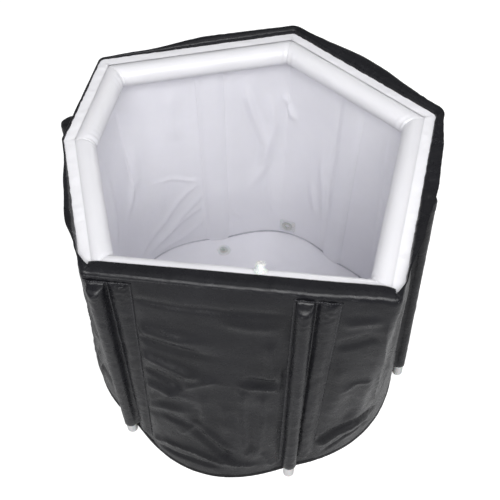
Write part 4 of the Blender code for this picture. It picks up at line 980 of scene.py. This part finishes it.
def build_floor():
    points, normals = level(FLOOR_Z)

    def lift(x, y, share):
        value = 0.0016 * rough_at(x * 9, y * 9, 12.0) + 0.0006 * rough_at(x * 34, y * 34, 3.0)
        for line, width, size, sharp, taper in floor_folds:
            value += float(crease(np.array([x]), np.array([y]), line, width, size, sharp, taper)[0])
        ease = min(share * 6, 1) * min((1 - share) * 14 + 0.1, 1)
        return max(value + 0.0006, 0.0) * ease

    floor_folds = list(folds_of(FLOOR_FOLDS))
    boundary = (points - normals * (LINER_FACE + 0.0006))[::2]
    item = polar_sheet("liner_floor_skin", boundary, 0.0115, FLOOR_Z, lift, LINER, 60)
    cloth_piece(item, "liner_pvc", (0.78, 0.78), "stretched", ["foam_base"], "liner_floor", area=0.455)


def build_weld():
    """A weld bead where the floor meets the wall, coloured dark grey as painted shade for the crease there.
    """
    wave = np.array([0.0006 * fuzz(a, 0.0, 0.02, 71.0) for a in AROUND])
    rows = []
    for _, c, s in circle(12):
        high = FLOOR_Z + WELD_R + WELD_R * s
        ring, out = level(high)
        place = ring - out * (LINER_FACE + 0.0012 + wave - WELD_R * c)[:, None]
        rows.append(np.column_stack([place, np.full(COUNT, high)]))
    # Painted shade: the bead takes the dark crease colour
    shaded_weld = grid_mesh("floor_weld", np.array(rows)[:, ::2], WELD_SHADE, across=True)
    weld(shaded_weld)
    hard_piece(shaded_weld, "tub", "liner_pvc")


# Foam inside the wall and base

def build_foam():
    heights = np.linspace(0.0074, LINER_TOP, 12)
    skins = [wall_points(heights, np.full((len(heights), COUNT), -depth))[:, ::4]
             for depth in (0.0046, 0.0090)]
    item = grid_mesh("foam_skin", np.concatenate([skins[0], skins[1][::-1]]), FOAM, across=True)
    hard_piece(item, "tub", "foam", "foam_wall")
    points, normals = level(0.0)
    boundary = (points - normals * 0.0046)[::4]
    pad = polar_sheet("foam_pad", boundary, 0.0165, 0.0020, lambda x, y, share: 0.0, FOAM, 6)
    thicken(pad, 0.0046, 1.0)
    hard_piece(pad, "tub", "foam", "foam_base")


# Ring and flange

def inset_corner(index, depth):
    return CORNERS[index] - CORNER_OUT[index] * depth / np.cos(HALF[index])


def build_ring():
    """One tube, mitred at six corners: fuller between them, with pressed mitre welds."""
    grid = []
    for index in range(6):
        following = (index + 1) % 6
        run = np.linalg.norm(inset_corner(following, RING_DEPTH) - inset_corner(index, RING_DEPTH))
        for step in range(RING_STEPS):
            share = step / RING_STEPS
            share = 0.5 * (share * 2) ** 1.8 if share < 0.5 else 1 - 0.5 * ((1 - share) * 2) ** 1.8
            away = min(share, 1 - share) * run
            pinch = 1 - 0.055 * math.exp(-away / 0.004) + 0.010 * math.exp(-((away - 0.018) / 0.012) ** 2)
            buckle = 0.0016 * math.exp(-away / 0.030) * math.sin(away * 420 + 1.3 * index)
            row = []
            for _, c, s in circle(RING_SIDES):
                seed = Vector((index * 3.1 + share * 5, c, s))
                radius = RING_R * pinch + buckle * max(-c, 0) + 0.0007 * noise.noise(seed * 1.4)
                a = inset_corner(index, RING_DEPTH - radius * c)
                b = inset_corner(following, RING_DEPTH - radius * c)
                row.append([*(a + (b - a) * share), RING_Z + radius * s * 0.99])
            grid.append(row)
    item = grid_mesh("ring_tube", np.array(grid).transpose(1, 0, 2), RING, across=True, flip=True)
    weld(item)
    hard_piece(item, "tub", "ring_pvc", "air_ring")


def build_ring_welds():
    """A thin raised line round the ring at each mitre."""
    vertices = []
    faces = []
    for index in range(6):
        out = CORNER_OUT[index]
        first = len(vertices)
        for _, c, s in circle(RING_SIDES):
            for away, proud in ((-0.0016, -0.0022), (-0.0008, -0.0006), (0, -0.0001), (0.0008, -0.0006),
                                (0.0016, -0.0022)):
                radius = RING_R * 0.955 + 0.0009 + proud
                flat = inset_corner(index, RING_DEPTH - radius * c) + np.array([-out[1], out[0]]) * away
                vertices.append((*flat, RING_Z + radius * s))
        for side in range(RING_SIDES):
            for step in range(4):
                a = first + side * 5 + step
                b = first + ((side + 1) % RING_SIDES) * 5 + step
                faces.append((a, a + 1, b + 1, b))
    mesh = bpy.data.meshes.new("ring_welds")
    mesh.from_pydata(vertices, [], faces)
    mesh.update()
    hard_piece(link("ring_welds", mesh, RING), "tub", "ring_pvc")


def build_flange():
    """White strip from the ring's shoulder to the rim, a little puckered."""
    columns = []
    for index in range(COUNT):
        nearest = np.argmin(np.linalg.norm(CORNERS - TOP[index], axis=1))
        away = np.linalg.norm(CORNERS[nearest] - TOP[index])
        extra = (1 / np.cos(HALF[nearest]) - 1) * max(0.0, 1 - away / 0.016) * 0.008
        loose = 0.6 + 0.5 * pucker_share(TOP_AZ[index])
        row = []
        for step in range(EDGE_STEPS + 1):
            share = step / EDGE_STEPS
            depth = 0.0016 + (0.0252 + extra - 0.0016) * share
            wave = 0.0016 * fuzz(AROUND[index], share * 0.01, 0.011, 51.0, 1.5) * math.sin(math.pi * share)
            wave += 0.0010 * fuzz(AROUND[index], share * 0.01, 0.035, 57.0, 1.5) * math.sin(math.pi * share)
            high = max(RIM + 0.0008 + wave * loose, on_ring(RING_DEPTH - depth) + 0.0006)
            row.append([*(TOP[index] - RIM_OUT[index] * depth), high])
        columns.append(row)
    grid = np.array(columns).transpose(1, 0, 2)
    item = grid_mesh("flange_strip", grid, FLANGE, uv=uv_grid(AROUND, np.linspace(0, 0.028, EDGE_STEPS + 1)))
    cloth_piece(item, "ring_pvc", (2.60, 0.0255), "stretched", ["ring_tube", "cover_skin"], "ring_flange",
                area=0.062)


# Fittings

TETHER_PATH = ((0.0128, 0.0106), (0.0185, 0.0106), (0.0212, 0.0113), (0.0224, 0.0138), (0.0226, 0.0185),
               (0.0222, 0.0215), (0.0205, 0.0236), (0.0185, 0.0241), (0.0163, 0.0241))


TETHER_SECTION = ((-1, -0.55), (-0.9, -0.7), (0, -0.7), (0.9, -0.7), (1, -0.55), (1, 0.55), (0.9, 0.7),
                  (0, 0.7), (-0.9, 0.7), (-1, 0.55))


def build_patch(matrix):
    """Square translucent patch with a pressed rim and a round hole."""
    flat_half = PATCH_HALF - PATCH_CORNER
    outline = []
    for _, c, s in circle(96):
        reach = PATCH_HALF / max(abs(c), abs(s))
        x, y = reach * c, reach * s
        ax, ay = abs(x) - flat_half, abs(y) - flat_half
        size = math.hypot(ax, ay)
        if ax > 0 and ay > 0 and size > PATCH_CORNER:
            x = math.copysign(flat_half + ax / size * PATCH_CORNER, x)
            y = math.copysign(flat_half + ay / size * PATCH_CORNER, y)
        outline.append((x, y))
    rows = []
    for share, lift in ((0, 0.0004), (0.04, 0), (0.35, 0), (0.62, -0.0001), (0.70, 0.0003), (0.78, 0.0003),
                        (0.84, -0.0001), (0.95, -0.0001), (1, 0.0009)):
        row = []
        for x, y in outline:
            r = math.hypot(x, y)
            hx, hy = x / r * 0.0114, y / r * 0.0114
            row.append([hx + (x - hx) * share, hy + (y - hy) * share, lift - 0.0143])
        rows.append(row)
    item = grid_mesh("drain_patch", placed(np.array(rows), matrix), PATCH)
    thicken(item, 0.0008, 1.0)
    hard_piece(item, "tub", "clear_pvc", "wall_drain_patch")


def tube_section(outer, inner, low, high, radius):
    """The rounded section of a ring or tube."""
    return rounded([(outer, high), (outer, low), (inner, low), (inner, high)], radius, 3, True)


def thread_profile(radius, low, high, pitch, depth):
    points = []
    place = low
    while place < high - pitch / 2:
        points += [(radius, place), (radius - depth, place + pitch / 2)]
        place += pitch
    points.append((radius, high))
    return points


def build_wall_drain():
    out = Vector((0.33571, 0.94197, 0.0)).normalized()
    matrix = frame_at((0.11871, 0.38579, 0.046), Vector((0, 0, 1)).cross(out).normalized(), out)
    build_patch(matrix)
    collar = -0.0147
    face = collar - 0.0025
    tail = 0.030
    body = [(0.0105, tail)] + thread_profile(0.0110, 0.0135, tail - 0.0006, 0.0030, 0.0007)[::-1]
    body += [(0.0110, collar), (0.0165, collar), (0.0165, face + 0.0008), (0.0157, face), (0.0100, face),
             (0.0092, face + 0.0006), (0.0075, face + 0.0007), (0.0075, tail)]
    hard_piece(lathe("drain_body", body, FITTING, matrix), "tub", "clear_pvc", "wall_drain_body")
    washer = tube_section(0.0165, 0.0113, 0.0003, 0.0023, 0.0005)
    hard_piece(lathe("drain_washer", washer, RUBBER, matrix), "tub", "seal_rubber", "wall_drain_washer")
    build_nut(matrix)
    seal = rounded([(0, 0.0321), (0.0110, 0.0321), (0.0110, 0.0303), (0, 0.0303)], 0.0004, 3)
    hard_piece(lathe("drain_seal_disc", seal, RUBBER, matrix), "drain_seal", "seal_rubber", "wall_drain_seal")
    build_cap(matrix)
    build_tether(matrix)


def build_nut(matrix):
    low, high = 0.0026, 0.0096
    profile = [(0.0113, low), (0.0190, low), (0.0195, low + 0.0006), (0.0195, high - 0.0008), (0.0188, high),
               (0.0113, high), (0.0113, low)]

    def reach(angle, radius):
        part = (angle + math.pi / 6) % (math.pi / 3) - math.pi / 6
        return radius if radius < 0.015 else radius * min(math.cos(math.pi / 6) / math.cos(part), 1.0)

    item = lathe("drain_nut", profile, ROD_WHITE, matrix, 96, 32.0, reach)
    hard_piece(item, "tub", "rod_pvc", "wall_drain_nut")


def build_cap(matrix):
    inner, outer = 0.0114, 0.0138
    low = 0.0324
    high = low + 0.0025
    mouth = low - 0.012
    profile = [(0, low), (inner, low), (inner, mouth), (outer, mouth), (outer + 0.0001, mouth + 0.0006),
               (outer + 0.0001, high - 0.0009), (outer - 0.0007, high), (0.0095, high),
               (0.0088, high - 0.0005), (0, high - 0.0005)]

    def reach(angle, radius):
        return radius if radius < outer else radius + 0.0005 * (0.5 + 0.5 * math.cos(24 * angle)) ** 1.5

    item = lathe("drain_screw_cap", profile, ROD_WHITE, matrix, 240, 32.0, reach)
    hard_piece(item, "drain_cap", "rod_pvc", "wall_drain_cap")


def build_tether(matrix):
    """Moulded strap: an eye round the tail, a bowed arm, and an eye round the cap."""
    for name, hole, low, nodes in (("tether_neck_eye", 0.0113, 0.0099, ["wall_drain_tether"]),
                                   ("tether_cap_eye", 0.0148, 0.0234, [])):
        section = tube_section(hole + 0.0030, hole, low, low + 0.0014, 0.0004)
        hard_piece(lathe(name, section, CLEAR, matrix), "tub", "clear_pvc", *nodes)
    path = [Vector(point) for point in TETHER_PATH]
    fine = [a.lerp(b, step / 6) for a, b in zip(path, path[1:]) for step in range(6)] + [path[-1]]
    last = len(fine) - 1
    grid = []
    for index, point in enumerate(fine):
        run = (fine[min(index + 1, last)] - fine[max(index - 1, 0)]).normalized()
        side = Vector((-run.y, run.x))
        half = 0.0030 - 0.0006 * math.sin(math.pi * index / last)
        row = []
        for across, thick in TETHER_SECTION:
            place = point + side * thick * 0.001
            row.append((across * half, -place.x, place.y))
        grid.append(row)
    arm = grid_mesh("tether_arm", placed(np.array(grid), matrix), CLEAR)
    hard_piece(arm, "tub", "clear_pvc")


def build_floor_drain():
    matrix = Matrix.Translation((*FLOOR_DRAIN, 0))
    low = FLOOR_Z + 0.0003
    high = low + 0.0028
    profile = [(0.0113, low), (0.0196, low), (0.0200, low + 0.0005), (0.0196, low + 0.0016),
               (0.0180, high - 0.0004), (0.0150, high), (0.0122, high), (0.0113, high - 0.0006),
               (0.0113, low)]

    def reach(angle, radius):
        part = angle % (math.pi / 4) - math.pi / 8
        flatness = max(radius - 0.0145, 0) / 0.0055
        return radius * (1 + (math.cos(math.pi / 8) / math.cos(part) - 1) * flatness)

    item = lathe("floor_flange", profile, PATCH, matrix, 96, 32.0, reach)
    hard_piece(item, "tub", "clear_pvc", "floor_drain_flange")
    seat = high - 0.0016 - 0.0003
    tail = tube_section(0.0110, 0.0082, 0.0008, seat, 0.0004)
    hard_piece(lathe("floor_tail", tail, FITTING, matrix), "tub", "clear_pvc", "floor_drain_tail")
    lock = tube_section(0.0158, 0.0113, 0.0018, 0.0068, 0.0005)
    hard_piece(lathe("floor_lock_ring", lock, ROD_WHITE, matrix), "tub", "rod_pvc", "floor_drain_lock_ring")
    head = seat + 0.0003
    top = head + 0.0016
    stopper = [(0, top - 0.0007), (0.0060, top - 0.0006), (0.0076, top), (0.0104, top),
               (0.0110, top - 0.0005), (0.0110, head), (0.0079, head), (0.0077, 0.0019), (0.0073, 0.0015),
               (0, 0.0015)]
    hard_piece(lathe("floor_stopper_disc", stopper, FITTING, matrix), "floor_stopper", "clear_pvc",
               "floor_drain_stopper")
    rows = []
    for share, size in ((0.0, 1.0), (0.5, 0.96), (0.85, 0.86), (1.0, 0.6)):
        row = []
        for _, c, s in circle(32):
            x = math.copysign(abs(c) ** 0.5, c) * 0.0040 * size
            y = math.copysign(abs(s) ** 0.5, s) * 0.0008 * (0.5 + 0.5 * size)
            row.append((FLOOR_DRAIN[0] + x, FLOOR_DRAIN[1] + y, top - 0.0009 + (0.0055 * share)))
        rows.append(row)
    rows.append([(*FLOOR_DRAIN, top - 0.0009 + 0.0056)] * 32)
    tab = grid_mesh("floor_stopper_tab", np.array(rows), FITTING)
    weld(tab)
    hard_piece(tab, "floor_stopper", "clear_pvc")


def build_valve():
    matrix = frame_at((0.022, -0.32348, 0.71476), Vector((-0.99257, 0.12169, 0.0)).normalized(),
                      Vector((0.06084, 0.49628, 0.86603)).normalized())
    top = RING_R + 0.013
    foot = RING_R + 0.005
    skirt = [(0.0080 + 0.0068 * step / 8, foot + 0.0004 - (foot - RING_R - 0.0001) * (step / 8) ** 0.7)
             for step in range(9)]
    profile = [(0.0040, RING_R - 0.0006), (0.0040, top - 0.0006), (0.0044, top), (0.0076, top),
               (0.0080, top - 0.0005)]
    grid = []
    for _, c, s in circle(64):
        row = []
        for radius, high in profile + skirt:
            y = radius * s
            dip = RING_R - math.sqrt(max(RING_R ** 2 - y * y, 0))
            low_share = min(max((foot + 0.0004 - high) / (foot - RING_R), 0), 1)
            row.append((radius * c, y, high - dip * low_share))
        grid.append(row)
    item = grid_mesh("valve_stem", placed(np.array(grid), matrix).transpose(1, 0, 2), CLEAR)
    thicken(item, 0.0005)
    hard_piece(item, "tub", "clear_pvc", "valve_body")
    low = top + 0.0003
    high = low + 0.0022
    cap = [(0, high), (0.0060, high), (0.0064, high - 0.0004), (0.0078, high - 0.0004), (0.0082, high),
           (0.0094, high), (0.0100, high - 0.0006), (0.0100, low - 0.0012), (0.0085, low - 0.0012),
           (0.0084, low), (0, low)]
    hard_piece(lathe("valve_lid", cap, CLEAR, matrix), "valve_cap", "clear_pvc", "valve_cap")
    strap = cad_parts["valve_strap"]
    strap.data.materials.clear()
    strap.data.materials.append(CLEAR)


# Stage and light

def backdrop_share(tree):
    """1 on camera and transmission rays, which see the white background, and a share of it on glossy rays."""
    path = add_node(tree, "LightPath")
    seen = add_node(tree, "Math", {0: path.outputs["Is Camera Ray"], 1: path.outputs["Is Transmission Ray"]},
                    operation="MAXIMUM")
    return add_node(tree, "Math", {0: path.outputs["Is Glossy Ray"], 1: GLOSSY_SHARE, 2: seen.outputs[0]},
                    operation="MULTIPLY_ADD").outputs[0]


def build_stage():
    bpy.context.scene.view_settings.view_transform = "Standard"
    mesh = bpy.data.meshes.new("floor")
    corners = ((-STAGE, -STAGE), (STAGE, -STAGE), (STAGE, STAGE), (-STAGE, STAGE))
    mesh.from_pydata([(x, y, STAGE_Z) for x, y in corners], [], [(0, 1, 2, 3)])
    material = bpy.data.materials.new("floor_look")
    material.use_nodes = True
    tree = material.node_tree
    tree.nodes.clear()
    diffuse = add_node(tree, "BsdfDiffuse", {"Color": FLOOR_COLOUR}).outputs[0]
    glow = add_node(tree, "Emission", {"Strength": FLOOR_GLOW}).outputs[0]
    both = add_node(tree, "AddShader", {0: diffuse, 1: glow}).outputs[0]
    mixed = add_node(tree, "MixShader", {0: backdrop_share(tree), 1: diffuse, 2: both}).outputs[0]
    add_node(tree, "OutputMaterial", {"Surface": mixed})
    link("floor", mesh, material, False)


def build_light():
    world = bpy.data.worlds.new("studio")
    bpy.context.scene.world = world
    world.use_nodes = True
    tree = world.node_tree
    tree.nodes.clear()
    plain, white = (add_node(tree, "Background", {"Color": colour, "Strength": strength}).outputs[0]
                    for colour, strength in (WORLD_PLAIN, WORLD_WHITE))
    mixed = add_node(tree, "MixShader", {0: backdrop_share(tree), 1: plain, 2: white}).outputs[0]
    add_node(tree, "OutputWorld", {"Surface": mixed})
    for name, place, target, power, width, height in LAMPS:
        data = bpy.data.lights.new(name, "AREA")
        data.shape = "RECTANGLE"
        data.size = width
        data.size_y = height
        data.energy = power
        lamp = bpy.data.objects.new(name, data)
        lamp.location = place
        lamp.rotation_euler = (Vector(target) - Vector(place)).to_track_quat("-Z", "Y").to_euler()
        bpy.context.scene.collection.objects.link(lamp)


build_cover()
build_base()
build_binding()
build_hem()
for rod_number in range(6):
    sleeve_stitches(rod_number, build_sleeve(rod_number))
    build_rod(rod_number)
    build_strip(rod_number)
build_liner()
build_floor()
build_weld()
build_foam()
build_ring()
build_ring_welds()
build_flange()
build_wall_drain()
build_floor_drain()
build_valve()
build_stage()
build_light()
